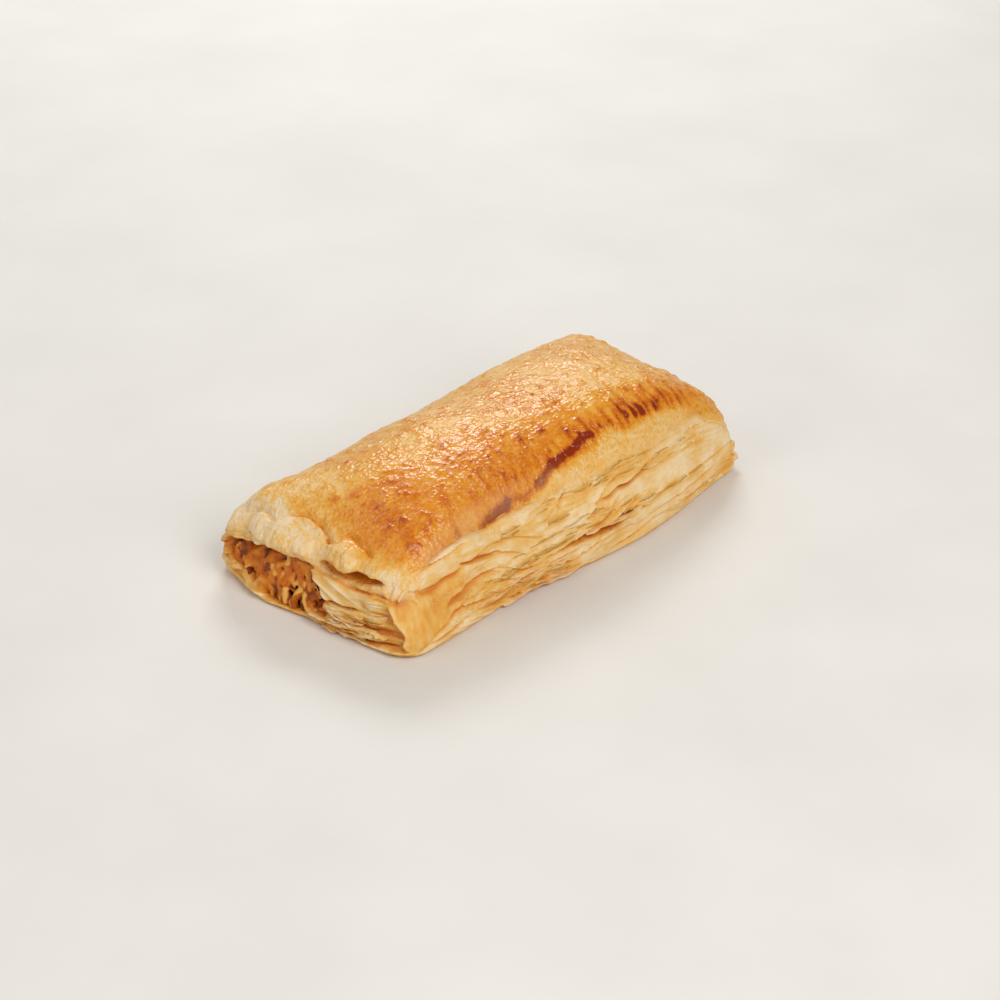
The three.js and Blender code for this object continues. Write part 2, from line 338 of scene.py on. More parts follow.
def plan_coordinates(x, y):
    """Shares u along and v across, from -1 to 1, of points on the crust seen from above."""
    u, v = plan_shares(x, y)
    for _ in range(24):
        to_near = np.maximum(-u, 0) ** 4 * (LEAN["near"] - near_bow(v))
        to_far = np.maximum(u, 0) ** 4 * (LEAN["far"] - far_bow(v))
        to_sealed = np.maximum(-v, 0) ** 3 * (LEAN["sealed"] - sealed_bow(u))
        to_fold = np.maximum(v, 0) ** 3 * (LEAN["fold"] - fold_bow(u))
        u = np.clip(0.5 * u + (x - to_near + to_far) / LENGTH, -1, 1)
        v = np.clip(0.5 * v + (y - to_sealed + to_fold) / WIDTH, -1, 1)
    return u, v


def crown_curve(run, power, root):
    return (1 - run**power) ** root


def form_height(u, v):
    """Height of the bare crust at u along and v across."""
    to_near = np.maximum(CROWN_U.low - u, 0) / (1 + CROWN_U.low) * CROWN_RUN.near
    to_far = np.maximum(u - CROWN_U.high, 0) / (1 - CROWN_U.high) * CROWN_RUN.far
    to_sealed = np.maximum(CROWN_V - v, 0) / (1 + CROWN_V) * CROWN_RUN.sealed
    to_fold = np.maximum(v - CROWN_V, 0) / (1 - CROWN_V) * CROWN_RUN.fold
    along = crown_curve(to_near, 2.4, 0.42) * crown_curve(to_far, 2.6, 0.4)
    across = crown_curve(to_sealed, 2.6, 0.5) * crown_curve(to_fold, 1.75, 0.6)
    joined = (along**-CORNER_FULLNESS + across**-CORNER_FULLNESS - 1) ** (-1 / CORNER_FULLNESS)
    height = HEIGHT * joined
    for swell in SWELLINGS:
        from_x = u * LENGTH / 2 - swell.x
        from_y = v * WIDTH / 2 - swell.y
        height = height + swell.height * bell(from_x, swell.radius) * bell(from_y, swell.radius)
    return height


def wall_edges():
    """Height of the top edge of each wall, by x on the long sides and by y on the ends."""
    u, v = plan_shares(XS, YS)
    return {
        "sealed": form_height(u, -np.ones_like(u)),
        "fold": form_height(u, np.ones_like(u)),
        "near": form_height(-np.ones_like(v), v),
        "far": form_height(np.ones_like(v), v),
    }


def wall_places(edges):
    """Where each wall stands: y of the long sides by x and z, and x of the ends by y and z."""
    u, v = plan_shares(XS, YS)
    out = {
        "sealed": -WIDTH / 2 - sealed_bow(u),
        "fold": WIDTH / 2 + fold_bow(u),
        "near": -LENGTH / 2 - near_bow(v),
        "far": LENGTH / 2 + far_bow(v),
    }
    inward = {"sealed": 1, "fold": -1, "near": 1, "far": -1}
    places = {}
    for wall, edge in edges.items():
        rise = np.clip(ZS[None, :] / edge[:, None], 0.0, 1.2)
        tuck = BASE_TUCK * np.maximum(1 - rise, 0) ** 8
        places[wall] = out[wall][:, None] + inward[wall] * (LEAN[wall] * rise**1.6 + tuck)
    across = bell(YS - NEAR_CORNER.y, NEAR_CORNER.width)[:, None]
    up = bell(ZS - NEAR_CORNER.z, NEAR_CORNER.height)[None, :]
    places["near"] -= NEAR_CORNER.reach * across * up
    return places


def wall_depths(places):
    """Depth of each grid point behind each wall."""
    return {
        "sealed": Y3 - places["sealed"][:, None, :],
        "fold": places["fold"][:, None, :] - Y3,
        "near": X3 - places["near"][None, :, :],
        "far": places["far"][None, :, :] - X3,
    }


def bare_form():
    """The parcel with its crust's relief, before the sheets, hollows and lips."""
    height = form_height(*plan_coordinates(X2, Y2))
    slopes = np.gradient(height, XS, YS)
    steepness = np.sqrt(1 + slopes[0] ** 2 + slopes[1] ** 2)
    top = ((height + crust_relief(steepness))[:, :, None] - Z3) / steepness[:, :, None]
    edges = wall_edges()
    places = wall_places(edges)
    depths = wall_depths(places)
    sides = smooth_min(depths["sealed"], depths["fold"], CORNER_RADIUS)
    ends = smooth_min(depths["near"], depths["far"], CORNER_RADIUS)
    walls = smooth_min(sides, ends, CORNER_RADIUS)
    return Named(
        height=height,
        steepness=steepness,
        top=top,
        edges=edges,
        places=places,
        depths=depths,
        ends=ends,
        walls=walls,
        form=smooth_min(smooth_min(walls, top, SHOULDER_RADIUS), Z3, BASE_RADIUS),
    )


# Relief of the crust, seen from above

def crust_relief(steepness):
    """How far the crust stands above or below its bare form. Fine relief fades out where it is steep."""
    lumps = 0.4 * noise(PLAN, (15, 15), 11) + 0.14 * noise(PLAN, (5.5, 5.5), 12)
    wrinkles = 0.06 * noise(PLAN, (0.7, 0.8), 13) + 0.07 * noise(PLAN, (0.8, 2.0), 14)
    strength = (0.4 + 0.6 * ease(-66, -50, X2)) * (0.25 + 0.75 * ease(2.0, 1.3, steepness))
    fine = (wrinkles + CRINKLE * crinkles()) * strength + blisters() - STROKES.depth * comb_strokes()
    return lumps + fine + GLAZE_RIDGE * glaze_map()


def crinkles():
    """1 along the narrow wrinkles of the glaze, 0 elsewhere."""
    return bell(noise(PLAN, (1.4, 2.2), 15), 0.28)


def blisters():
    """Small bubbles under the glaze, scattered over the crust."""
    rng = np.random.default_rng(21)
    relief = np.zeros_like(X2)
    reach = 4.0
    for _ in range(BLISTERS.count):
        x, y = rng.uniform(*BLISTERS.x), rng.uniform(*BLISTERS.y)
        radius, height = rng.uniform(*BLISTERS.radius), rng.uniform(*BLISTERS.height)
        columns = slice(*np.searchsorted(XS, [x - reach, x + reach]))
        rows = slice(*np.searchsorted(YS, [y - reach, y + reach]))
        bubble = height * bell(XS[columns, None] - x, radius) * bell(YS[None, rows] - y, radius)
        relief[columns, rows] += bubble
    return relief


def comb_strokes():
    """Short strokes that run up from the sealed shoulder, where the glaze has drawn lines: 0 to 1."""
    rng = np.random.default_rng(22)
    strokes = np.zeros_like(X2)
    for x in np.arange(STROKES.first, STROKES.last, STROKES.pitch):
        place = x + rng.uniform(-0.6, 0.6)
        top = rng.uniform(-26, -21)
        strength = rng.uniform(0.5, 1.0) * (0.35 + 0.65 * ease(0, 16, x))
        line = place + rng.uniform(-0.12, 0.05) * (Y2 + 31)
        along = ease(top, top - 5, Y2) * ease(-33.5, -31.5, Y2)
        strokes += strength * bell(X2 - line, STROKES.width) * along
    return strokes


def glaze_map():
    """Dark glaze that has pooled along the sealed shoulder."""
    wander = 0.35 * noise([XS], (7,), 74) + 0.2 * noise([XS], (2.2,), 75)
    edge = (GLAZE_LINE.y - GLAZE_LINE.slant * np.maximum(-XS, 0) + wander)[:, None]
    line = np.zeros_like(X2)
    for run in GLAZE_RUNS:
        along = ease(run.start - 2, run.start + 2, X2) * ease(run.end + 2, run.end - 2, X2)
        line = np.maximum(line, run.strength * along * bell(Y2 - edge, run.width))
    for drop in GLAZE_DROPS:
        tail = np.where(Y2 > drop.y, 2.2 * drop.size, 0.7 * drop.size)
        line = np.maximum(line, drop.strength * bell(X2 - drop.x, drop.size) * bell(Y2 - drop.y, tail))
    return np.clip(line, 0, 1)


def crack_depths():
    """Cracks across the crust behind the pale lips of the two ends."""
    wander = 0.4 * noise([YS], (7,), 23) + 0.15 * noise([YS], (2.2,), 24)
    cut = np.zeros_like(X2)
    for crack in CRACKS:
        run = (2 * Y2 - crack.low - crack.high) / (crack.high - crack.low)
        line = crack.x + crack.bow * (1 - run**2) + wander[None, :]
        along = ease(1.3, 0.7, np.abs(run))
        cut += crack.depth * along * bell(X2 - line, crack.width)
    return cut


# Sheets of dough on the walls

def sheet_level(height):
    """Which sheet each grid point lies in: whole numbers are the joints between sheets."""
    level = SHEETS * np.clip(Z3 / height[:, :, None], 0.0, 1.1)
    warp = 0.75 * noise(AXES, (20, 20, 11), 31) + 0.5 * noise(AXES, (7, 7, 5), 32)
    taper = ease(0.0, 1.5, level) * ease(SHEETS + 0.5, SHEETS - 1.5, level)
    return np.clip(level + SHEET_WARP * warp * taper, 0.0, SHEETS - 0.001)


def sheet_reaches():
    """How far the edge of each sheet stands out, seen from above."""
    layers = []
    for sheet in range(SHEETS):
        broad = REACH.broad * noise(PLAN, (13, 13), 100 + 3 * sheet)
        fine = REACH.fine * noise(PLAN, (4, 4), 101 + 3 * sheet)
        ragged = REACH.ragged * noise(PLAN, (1.4, 1.4), 102 + 3 * sheet)
        layers.append(broad + fine + ragged)
    return np.stack(layers, axis=2)


def joint_depths():
    """How deep each joint between two sheets is cut, seen from above."""
    layers = []
    for joint in range(SHEETS + 1):
        opening = noise(PLAN, (12, 12), 200 + 2 * joint) + 0.5 * noise(PLAN, (4, 4), 201 + 2 * joint)
        layers.append(JOINT.least + JOINT.most * np.maximum(opening - 0.15, 0) ** 1.2)
    return np.stack(layers, axis=2)


def sheet_relief(level):
    """How far the sheets stand out of a wall, with the joints between them cut back, and the painted shade in
    its creases, less a painted highlight on the leaf edges.
    """
    sheet = np.floor(level).astype(np.int32)
    share = level - sheet
    from_joint = np.minimum(share, 1 - share)
    reach = np.take_along_axis(sheet_reaches(), sheet, 2)
    joint = np.take_along_axis(joint_depths(), np.round(level).astype(np.int32), 2)
    cut = joint * ease(JOINT.width, 0.0, from_joint)
    leaf = LEAF_EDGE * bell(share - 0.72, 0.12) * ease(-0.8, 0.8, reach)
    flakes = FLAKINESS * noise(AXES, (2.2, 2.2, 0.8), 33)
    # Painted shade in the joints between sheets, less a painted highlight on the leaf edges.
    crease = np.minimum(joint, 1.0) * ease(0.7 * JOINT.width, 0.0, from_joint)
    return reach - cut + leaf + flakes, crease - leaf


def side_rise(edge):
    """Share of the sealed side's height that lies below each place, by x and z."""
    return np.clip(ZS[None, :] / edge[:, None], 0.0, 1.1)


def side_level(edge):
    """Which of its own long sheets each place on the sealed side lies in, by x and z."""
    warp = noise(SIDE_WALL, (34, 12), 301) + 0.35 * noise(SIDE_WALL, (11, 6), 302)
    rise = side_rise(edge)
    return SIDE.sheets * rise + SIDE.warp * warp * ease(0.0, 0.2, rise)


def overlap(share, lip, cut):
    """Profile of a sheet that overhangs the one below it; share runs up the sheet from 0 to 1."""
    return lip * fade(share, 0.3) - cut * fade(1 - share, 0.3)


def side_relief(level, edge):
    """How far the sealed side stands out, by x and z, and the painted shade in its creases, by how deep each
    place lies in one, less a painted highlight on its ridges.
    """
    sheet = np.floor(level).astype(int)
    share = level - sheet
    rows = np.arange(len(XS))[:, None]
    joints = range(SIDE.sheets + 6)
    openings = np.stack([noise([XS], (12,), 310 + joint) for joint in joints], axis=1)
    lip = SIDE.lip * ease(-0.8, 1.2, openings[rows, sheet + 2])
    cut = SIDE.cut * ease(-0.4, 1.8, openings[rows, sheet + 3])
    bulge = SIDE.bulge * noise(SIDE_WALL, (26, 9), 303) + 0.16 * noise(SIDE_WALL, (7, 4), 304)
    relief = overlap(share, lip, cut) + bulge + SIDE.grain * side_grain(level)
    thin_share, stand = thin_side_sheets(edge)
    thin_relief = overlap(thin_share, stand, 0.8 * stand)
    # Painted shade under each overhanging sheet, and a painted highlight along each sheet's lower lip.
    crease = cut * fade(1 - share, 0.12) / SIDE.cut + stand * fade(1 - thin_share, 0.15) / 0.4
    ridge = lip * fade(share, 0.1) + stand * fade(thin_share, 0.12)
    return relief + thin_relief, crease - 0.4 * ridge


def thin_side_sheets(edge):
    """How far up its own thin sheet each place on the sealed side lies, and how far that stands out."""
    warp = SIDE_THIN.warp * noise(SIDE_WALL, (24, 8), 307)
    level = SIDE_THIN.sheets * side_rise(edge) + warp + 0.6 * noise(SIDE_WALL, (8, 4), 308)
    stand = SIDE_THIN.stand * ease(-0.6, 1.2, noise(SIDE_WALL, (15, 5), 309))
    return level - np.floor(level), stand


def side_grain(level):
    """Fine threads that follow the long sheets of the sealed side."""
    step = 0.04
    leaves = np.arange(-2.0, SIDE.sheets + 3.0, step)
    threads = noise([XS, leaves], (7, 0.12), 305) + 0.6 * noise([XS, leaves], (3, 0.3), 306)
    places = np.stack([np.broadcast_to(XS[:, None], level.shape).ravel(), level.ravel()], axis=1)
    low, cell = np.array([XS[0], leaves[0]]), np.array([CELL[0], step])
    return sample(threads, places, low, cell).reshape(level.shape)


def crust_share(level, depths):
    """1 where a wall is the smooth turned-down crust, 0 where it is bare sheets."""
    wander = 0.05 * noise(PLAN, (9, 9), 41) + 0.025 * noise(PLAN, (3, 3), 42)
    rise = level / SHEETS + wander[:, :, None]
    on_end = np.minimum(depths["near"], depths["far"]) < np.minimum(depths["sealed"], depths["fold"])
    side_edge = CRUST_EDGE.sealed - 0.22 * ease(46, 62, X3)
    edge = np.where(on_end, CRUST_EDGE.ends, side_edge)
    return ease(-CRUST_FADE, CRUST_FADE, rise - edge)


def end_relief(level):
    """How far the ends stand out, with the smooth curtain and the frill, and the painted shade in their
    creases, less a painted highlight on the curtain's ridges.
    """
    relief, crease = sheet_relief(level)
    hung, ridges = curtain()
    calm = 1 - CALM.smooth * np.maximum(hung, frill_share())
    # The curtain's ridges get a painted highlight.
    return relief * calm + ridges, crease * calm - ridges


def wall_relief(bare):
    """Relief of all walls, with where it is an end, a bare wall or the turned-down crust."""
    depths, edge = bare.depths, bare.edges["sealed"]
    on_end = ease(-3.0, 3.0, np.minimum(depths["sealed"], depths["fold"]) - bare.ends)
    on_side = 1 - on_end
    side = side_level(edge)
    side_out, side_light_and_shade = side_relief(side, edge)
    level = sheet_level(bare.height)
    end_out, end_light_and_shade = end_relief(level)
    crust = crust_share(level, depths)
    on_wall = ease(-1.0, 3.0, bare.top - bare.walls)
    fold = ease(-2.0, 2.0, np.minimum(depths["sealed"], bare.ends) - depths["fold"])
    base = ease(BASE_SHEET, 0.5 * BASE_SHEET, Z3)
    strength = on_wall * (1 - CALM.crust * crust) * (1 - CALM.fold * fold) * (1 - CALM.base * base)
    return Named(
        on_end=on_end,
        on_wall=on_wall,
        turned_down=np.maximum(crust, fold),
        strength=strength,
        relief=on_end * end_out + on_side * side_out[:, None, :],
        # Painted shade in the creases, less painted highlights, where the sheets stand out.
        crease=(on_end * end_light_and_shade + on_side * side_light_and_shade[:, None, :]) * (strength > 0.2),
        level=on_end * level + on_side * side[:, None, :] * SHEETS / SIDE.sheets,
    )


# Flap, frill and curtain by the near mouth

def past_flap():
    """How far each grid point lies past the flap's free edge, towards the mouth."""
    edge = FLAP_EDGE.foot + FLAP_EDGE.climb * (ZS - FLAP.low) + 0.7 * noise([ZS], (3,), 58)
    return Y3 - edge[None, None, :]


def flap_foot():
    """Height of the flap's lower edge, which climbs along the sealed side from the corner."""
    wander = 0.5 * noise([XS], (5,), 64)
    return (FLAP.low + FLAP.rise * np.maximum(XS + LENGTH / 2, 0) + wander)[:, None, None]


def before_root():
    """1 from the near corner to the flap's root, 0 past it."""
    return ease(FLAP.root + 3, FLAP.root - 4, X3)


def flap_share():
    """1 on the smooth flap, 0 elsewhere."""
    up = ease(FLAP.high + 1.5, FLAP.high - 1.5, Z3) * ease(-0.8, 0.4, Z3 - flap_foot())
    return before_root() * up * ease(0.8, -0.4, past_flap())


def flap_groove():
    """1 in the grooves along the top of the flap and under its lower edge, 0 elsewhere."""
    top = FLAP.high + 1.0 + 0.9 * noise([XS], (4,), 63)[:, None, None]
    past_corner = X3 > 2 - LENGTH / 2
    grooves = bell(Z3 - top, 0.6) + 0.8 * bell(Z3 - flap_foot() + 0.7, 0.55) * past_corner
    return grooves * before_root() * (Y3 < 0)


def shape_flap(dough, depths, relief):
    """Raises the flap's free edge, and sets the sheets of the near end back beside it."""
    past = past_flap()
    up = ease(FLAP.high, FLAP.high - 4, Z3) * ease(FLAP.low, FLAP.low + 2, Z3)
    on_near = ease(8.0, 3.0, depths["near"])
    dough = dough + FLAP_EDGE.ridge * bell(past + 0.5, 0.7) * up * on_near
    along = ease(0.0, 0.9, past) * ease(FLAP_EDGE.run, FLAP_EDGE.run - 6, Y3)
    set_back = depths["near"] - FLAP_EDGE.recess * along * up + 0.8 * relief
    return np.where((X3 < 0) & (along * up > 0.01), np.minimum(dough, set_back), dough)


def frill_share():
    """1 where the upright folds by the corner of the sealed side are, 0 elsewhere, by y and z."""
    return (bell(YS - FRILL.y, FRILL.width)[:, None] * bell(ZS - FRILL.z, FRILL.height))[None]


def frill_folds():
    """Upright folds in the dough where an end meets the sealed side."""
    wander = 0.9 * noise(AXES, (6, 5, 5), 56)
    return FRILL.depth * np.cos(2 * math.pi * (Y3 / FRILL.pitch + wander)) * frill_share()


def line_distance(y, z, start, end):
    """Distance from the points (y, z) to the line between two places."""
    run, rise = end[0] - start[0], end[1] - start[1]
    share = np.clip(((y - start[0]) * run + (z - start[1]) * rise) / (run**2 + rise**2), 0, 1)
    return np.hypot(y - start[0] - share * run, z - start[1] - share * rise)


def curtain():
    """Share of the smooth sheet beside the mouth, from 0 to 1, and the ridges on it in mm, by y and z."""
    y, z = np.meshgrid(YS, ZS, indexing="ij")
    across = ((y - CURTAIN.y) / CURTAIN.width) ** 2
    up = ((z - CURTAIN.z) / CURTAIN.height) ** 2
    share = bell(across, 1) * bell(up, 1)
    ridges = np.zeros_like(share)
    for start, end in CURTAIN_RIDGES:
        ridges = np.maximum(ridges, bell(line_distance(y, z, start, end), CURTAIN.thin))
    return share[None], (CURTAIN.ridge * ridges * share)[None]


# Hollows and lips

def lens(along, up, depth, pocket, wander):
    """A flattened lens, positive inside."""
    tilt = math.radians(pocket.tilt)
    from_along, from_z = along - pocket.along, up - pocket.z
    a = from_along * math.cos(tilt) + from_z * math.sin(tilt)
    b = from_z * math.cos(tilt) - from_along * math.sin(tilt) + wander
    spread = (a / pocket.length) ** 2 + (b / pocket.gap) ** 2
    spread = spread + (np.maximum(depth, 0) / pocket.depth) ** 2
    return pocket.gap * (1 - np.sqrt(spread))


def carve_pockets(dough, depths):
    wander = 0.5 * noise(AXES, (6, 6, 8), 51) + 0.2 * noise(AXES, (2.4, 2.4, 4), 52)
    for pocket in SIDE_POCKETS:
        dough = np.minimum(dough, -lens(X3, Z3, depths["sealed"], pocket, wander))
    for pocket in END_POCKETS:
        for end in ("near", "far"):
            dough = np.minimum(dough, -lens(Y3, Z3, depths[end], pocket, wander))
    return dough


def add_lips(dough, depths):
    """Puffed rolls of crust that overhang the mouths of the two ends."""
    ragged = 0.3 * noise(AXES, (6, 5, 6), 53) + 0.25 * noise(AXES, (2, 1.1, 3), 54)
    for lip in END_LIPS:
        for end in ("near", "far"):
            out = (depths[end] - lip.inset) / lip.x
            across = (Y3 - lip.y) / lip.width
            up = (Z3 - lip.z) / lip.height
            roll = lip.height * (1 - np.sqrt(out**2 + across**2 + up**2))
            dough = smooth_max(dough, roll + ragged * 0.6, 1.6)
    wrinkles = LIP_WRINKLES * (noise(AXES, (5, 1.0, 5), 57) + 0.5 * noise(AXES, (1.6, 0.8, 1.6), 59))
    from_end = np.minimum(depths["near"], depths["far"])
    return dough + wrinkles * ease(13.0, 4.0, from_end) * ease(12.0, 16.0, Z3)


def bar(width, height):
    """A bar along the parcel in the place of the filling, positive inside."""
    taper = ease(TAPER.start, TAPER.end, Y3)
    across = np.abs((Y3 - FILLING.y) / width) ** TUNNEL.power
    middle = FILLING.z + TAPER.rise * taper
    up = np.abs((Z3 - middle) / (height * (1 - TAPER.share * taper))) ** TUNNEL.power
    return height * (1 - (across + up) ** (1 / TUNNEL.power))


def carve_tunnel(dough, depths):
    """The way right through for the filling, a little wider at its two mouths."""
    to_mouth = np.clip(fade(np.minimum(depths["near"], depths["far"]), MOUTH.run), 0.0, 1.3)
    width = TUNNEL.width + MOUTH.wider * to_mouth
    height = TUNNEL.height + MOUTH.higher * to_mouth
    ragged = 0.5 * noise(AXES, (5, 4, 4), 55) * to_mouth
    hollow = np.minimum(bar(width, height) + ragged, Z3 - TUNNEL.floor)
    return smooth_min(dough, -hollow, 0.8)


# Fields of the dough and of the filling

def make_fields():
    """Field of the dough, with its bare form and what its colours are blended by, painted light and shade
    among them.
    """
    bare = bare_form()
    walls = wall_relief(bare)
    depths, on_end = bare.depths, walls.on_end
    flap, groove = flap_share(), flap_groove()
    folds = FLAP.folds * noise(AXES, (2.4, 2.4, 10), 60)
    dough = bare.form + walls.strength * (1 - CALM.smooth * flap) * walls.relief + flap * folds
    dough = dough + on_end * frill_folds() - FLAP.groove * groove
    dough = shape_flap(dough, depths, walls.relief)
    dough = add_lips(dough, depths) - crack_depths()[:, :, None] * ease(5.0, 2.5, bare.top)
    dough = carve_tunnel(carve_pockets(dough, depths), depths)
    # Painted highlight along the flap's free edge.
    flap_rim_light = flap * bell(past_flap() + 0.6, 0.9) * on_end
    skin = np.minimum(CRUST_DEPTH.wall - bare.walls, (walls.turned_down - 0.5) * 4)
    return Named(
        dough=smooth_min(dough, Z3, 0.6),
        form=bare.form,
        top=bare.top,
        depths=depths,
        edges=bare.edges,
        places=bare.places,
        level=walls.level,
        on_end=on_end,
        flap=flap,
        smooth=np.maximum(flap, on_end * np.maximum(curtain()[0], frill_share())),
        # Painted shade in creases and grooves, less a painted highlight along the flap's free edge.
        crease=walls.crease * (1 - flap) + 0.6 * groove - 0.6 * flap_rim_light,
        browning=browning_map(bare.steepness),
        glaze=glaze_map(),
        frost=frost_and_glint_map(),
        crust=np.maximum(walls.turned_down, 1 - walls.on_wall),
        in_crust=np.maximum(CRUST_DEPTH.top - bare.top, skin),
    )


def make_filling(depths):
    """Field of the shredded filling, and how pale or dark it is at each grid point."""
    lumps = noise(AXES, (3.6, 3.6, 3.6), 61) + 0.6 * noise(AXES, (1.7, 1.7, 1.7), 62)
    recess = FILLING_RECESS.low + (FILLING_RECESS.high - FILLING_RECESS.low) * ease(4, 15, Z3)
    to_end = np.minimum(depths["near"], depths["far"]) - recess
    body = smooth_min(bar(FILLING.width, FILLING.height), to_end, 4.0)
    body = body + FILLING_LUMPS * lumps * ease(14, 2, to_end)
    tone = 0.4 + 0.12 * lumps + 0.22 * ease(13, 4, Z3) * ease(6, 18, Y3)
    middle = len(XS) // 2
    add_strands(body, tone, to_end, slice(0, middle), 65)
    add_strands(body, tone, to_end, slice(middle, len(XS)), 66)
    return smooth_min(body, Z3 - FILLING_FLOOR, 0.8), tone


def add_strands(body, tone, to_end, half, seed):
    """Lays curved shreds of meat over the end of the filling that lies in one half of the grid."""
    rng = np.random.default_rng(seed)
    for _ in range(STRANDS):
        y = FILLING.y + rng.uniform(-0.92, 0.92) * FILLING.width
        z = FILLING.z + rng.uniform(-0.8, 0.75) * FILLING.height
        lean = rng.normal(0.3, 0.6)
        half_length, bow = rng.uniform(1.5, 4.5), rng.uniform(-1.4, 1.4)
        radius, shade = rng.uniform(0.4, 1.05), rng.choice(STRAND_SHADES)
        reach = half_length + 3.0
        rows = slice(*np.searchsorted(YS, [y - reach, y + reach]))
        levels = slice(*np.searchsorted(ZS, [z - reach, z + reach]))
        box = (half, rows, levels)
        from_y, from_z = Y3[:, rows] - y, Z3[:, :, levels] - z
        along = from_y * math.sin(lean) + from_z * math.cos(lean)
        aside = from_y * math.cos(lean) - from_z * math.sin(lean)
        aside = aside - bow * (1 - (along / half_length) ** 2)
        past_end = np.maximum(np.abs(along) - half_length, 0)
        above = to_end[box] - rng.uniform(-0.7, 0.8)
        strand = radius - np.sqrt(aside**2 + past_end**2 + above**2)
        tone[box] = np.where(strand > np.maximum(body[box], -0.4), shade, tone[box])
        body[box] = smooth_max(body[box], strand, 0.3)


def crowding(field, reach):
    """Share of food in a box round each grid point: high in creases, low on thin edges. Shade is painted in
    hollows by it.
    """
    share = np.clip(0.5 + field / 0.8, 0.0, 1.0)
    for axis, cell in enumerate(CELL):
        steps = max(1, int(round(reach / cell)))
        margins = [(0, 0)] * 3
        margins[axis] = (steps + 1, steps)
        total = np.cumsum(np.pad(share, margins, mode="edge"), axis=axis)
        width = 2 * steps + 1
        ahead = np.take(total, np.arange(width, total.shape[axis]), axis=axis)
        behind = np.take(total, np.arange(0, total.shape[axis] - width), axis=axis)
        share = (ahead - behind) / width
    return share


# How far each part of the crust has browned

def browning_map(steepness):
    """0 is pale dough and 1 is deep brown, seen from above. Fine marks fade out where the crust is steep."""
    across = 0.29 + 0.2 * ease(22, -26, Y2) - 0.1 * ease(24, 36, Y2)
    near_patch = 0.14 * bell(X2 + 54, 14) * bell(Y2 + 12, 16)
    far_corner = 0.16 * bell(X2 - 64, 8) * bell(Y2 + 22, 9)
    past_middle = ease(0, 20, X2)
    band = bell(Y2 + 26 + 4 * past_middle, 5 - 2 * past_middle) * ease(56, 44, X2)
    band = band * (0.07 - 0.03 * past_middle)
    to_far = -0.14 * ease(0, 25, X2) * bell(Y2 + 17, 10) - 0.06 * ease(45, 70, X2)
    to_near = -0.3 * ease(-62, -72, X2) - 0.4 * ease(-58, -70, X2) * ease(-18, -30, Y2)
    browning = across + near_patch + far_corner + band + to_far + to_near + 0.4 * comb_strokes()
    patches = 0.03 * noise(PLAN, (7, 9), 71) + 0.05 * noise(PLAN, (1.5, 3.0), 72)
    baked_tips = 0.65 * blisters() + 0.08 * crinkles()
    browning = browning + (patches + baked_tips) * ease(-32, -28, Y2) * ease(1.9, 1.25, steepness)
    from_shoulder = Y2 + 0.03 * np.maximum(-X2, 0) + 0.5 * noise(PLAN, (4, 4), 77)
    over_shoulder = ease(-30.6, -33.0, from_shoulder)
    shoulder_tone = 0.24 + 0.2 * ease(46, 60, X2)
    return np.clip(browning * (1 - over_shoulder) + shoulder_tone * over_shoulder, 0, 1)


def frost_and_glint_map():
    """How thickly the crust is dotted with fine pale flecks, partly dried glaze and partly painted glints of
    light, seen from above.
    """
    along = ease(-56, -30, X2) * ease(68, 52, X2)
    patches = 0.75 + 0.25 * noise(PLAN, (9, 6), 78)
    return np.clip((0.12 + 0.3 * bell(Y2 + 5, 17) * along) * patches, 0, 1) * ease(-29, -24, Y2)


def colour_dough(mesh, fields, behind=None):
    """Values at each vertex that the dough's material blends its colours by, painted light and shade among
    them. A leaf's hidden face gets painted golden shade.
    """
    places = vertex_places(mesh)
    # Painted shade: faces that look down are browner on the crust and more golden on the sheets.
    underside = ease(0.0, 0.7, -vertex_values(mesh, "normal")[:, 2])
    below_edge = ease(1.5, 6.0, values_at(fields.top, places))
    browning = values_at(fields.browning, places) * (1 - below_edge) + WALL_BROWNING * below_edge
    add_attribute(mesh, "browning", browning + UNDERSIDE_SHADE.crust * underside)
    shoulder = ease(23.0, 26.0, places[:, 2])
    add_attribute(mesh, "glaze", values_at(fields.glaze, places) * shoulder)
    for name in ("crust", "level", "on_end", "flap", "smooth", "frost"):
        add_attribute(mesh, name, values_at(getattr(fields, name), places))
    # Painted shade on the sheets where they face down.
    crease = UNDERSIDE_SHADE.layers * underside
    if behind is None:
        # Depth behind the bare form and how hemmed in the dough is, by which shade is painted in cracks and
        # hollows.
        add_attribute(mesh, "recess", values_at(fields.form, places))
        add_attribute(mesh, "crowding", values_at(fields.crowding, places))
        crease = crease + values_at(fields.crease, places)
    else:
        # Painted shade under loose edges and on a leaf's hidden face.
        crease = crease + values_at(fields.shade, places) + BEHIND_SHADE * behind
    add_attribute(mesh, "crease", crease)


# Loose leaves and sheets, each as its two faces, which are rows of points

def wave(rng, along, low, high):
    """A wave along a leaf, with any phase and a pace between low and high."""
    return np.sin(rng.uniform(*ANY_PHASE) + along * rng.uniform(low, high))


def ragged_line(rng, spread, count):
    return np.convolve(rng.normal(0, spread, count + 2), [0.25, 0.5, 0.25], "valid")


def wall_line(wall):
    """Grid lines along a wall."""
    return XS if wall == "sealed" else YS


def off_wall(wall, surface, along, heights, away):
    """Points at places along a wall and heights, so far out from its surface."""
    line = wall_line(wall)
    runs = np.broadcast_to(along, heights.shape)
    spots = np.stack([runs.ravel(), heights.ravel()], axis=1)
    low = np.array([line[0], ZS[0]])
    cell = np.array([line[1] - line[0], ZS[1] - ZS[0]])
    across = sample(surface, spots, low, cell).reshape(heights.shape)
    across = across + (away if wall == "far" else -away)
    return np.stack([runs, across, heights] if wall == "sealed" else [across, runs, heights], axis=-1)


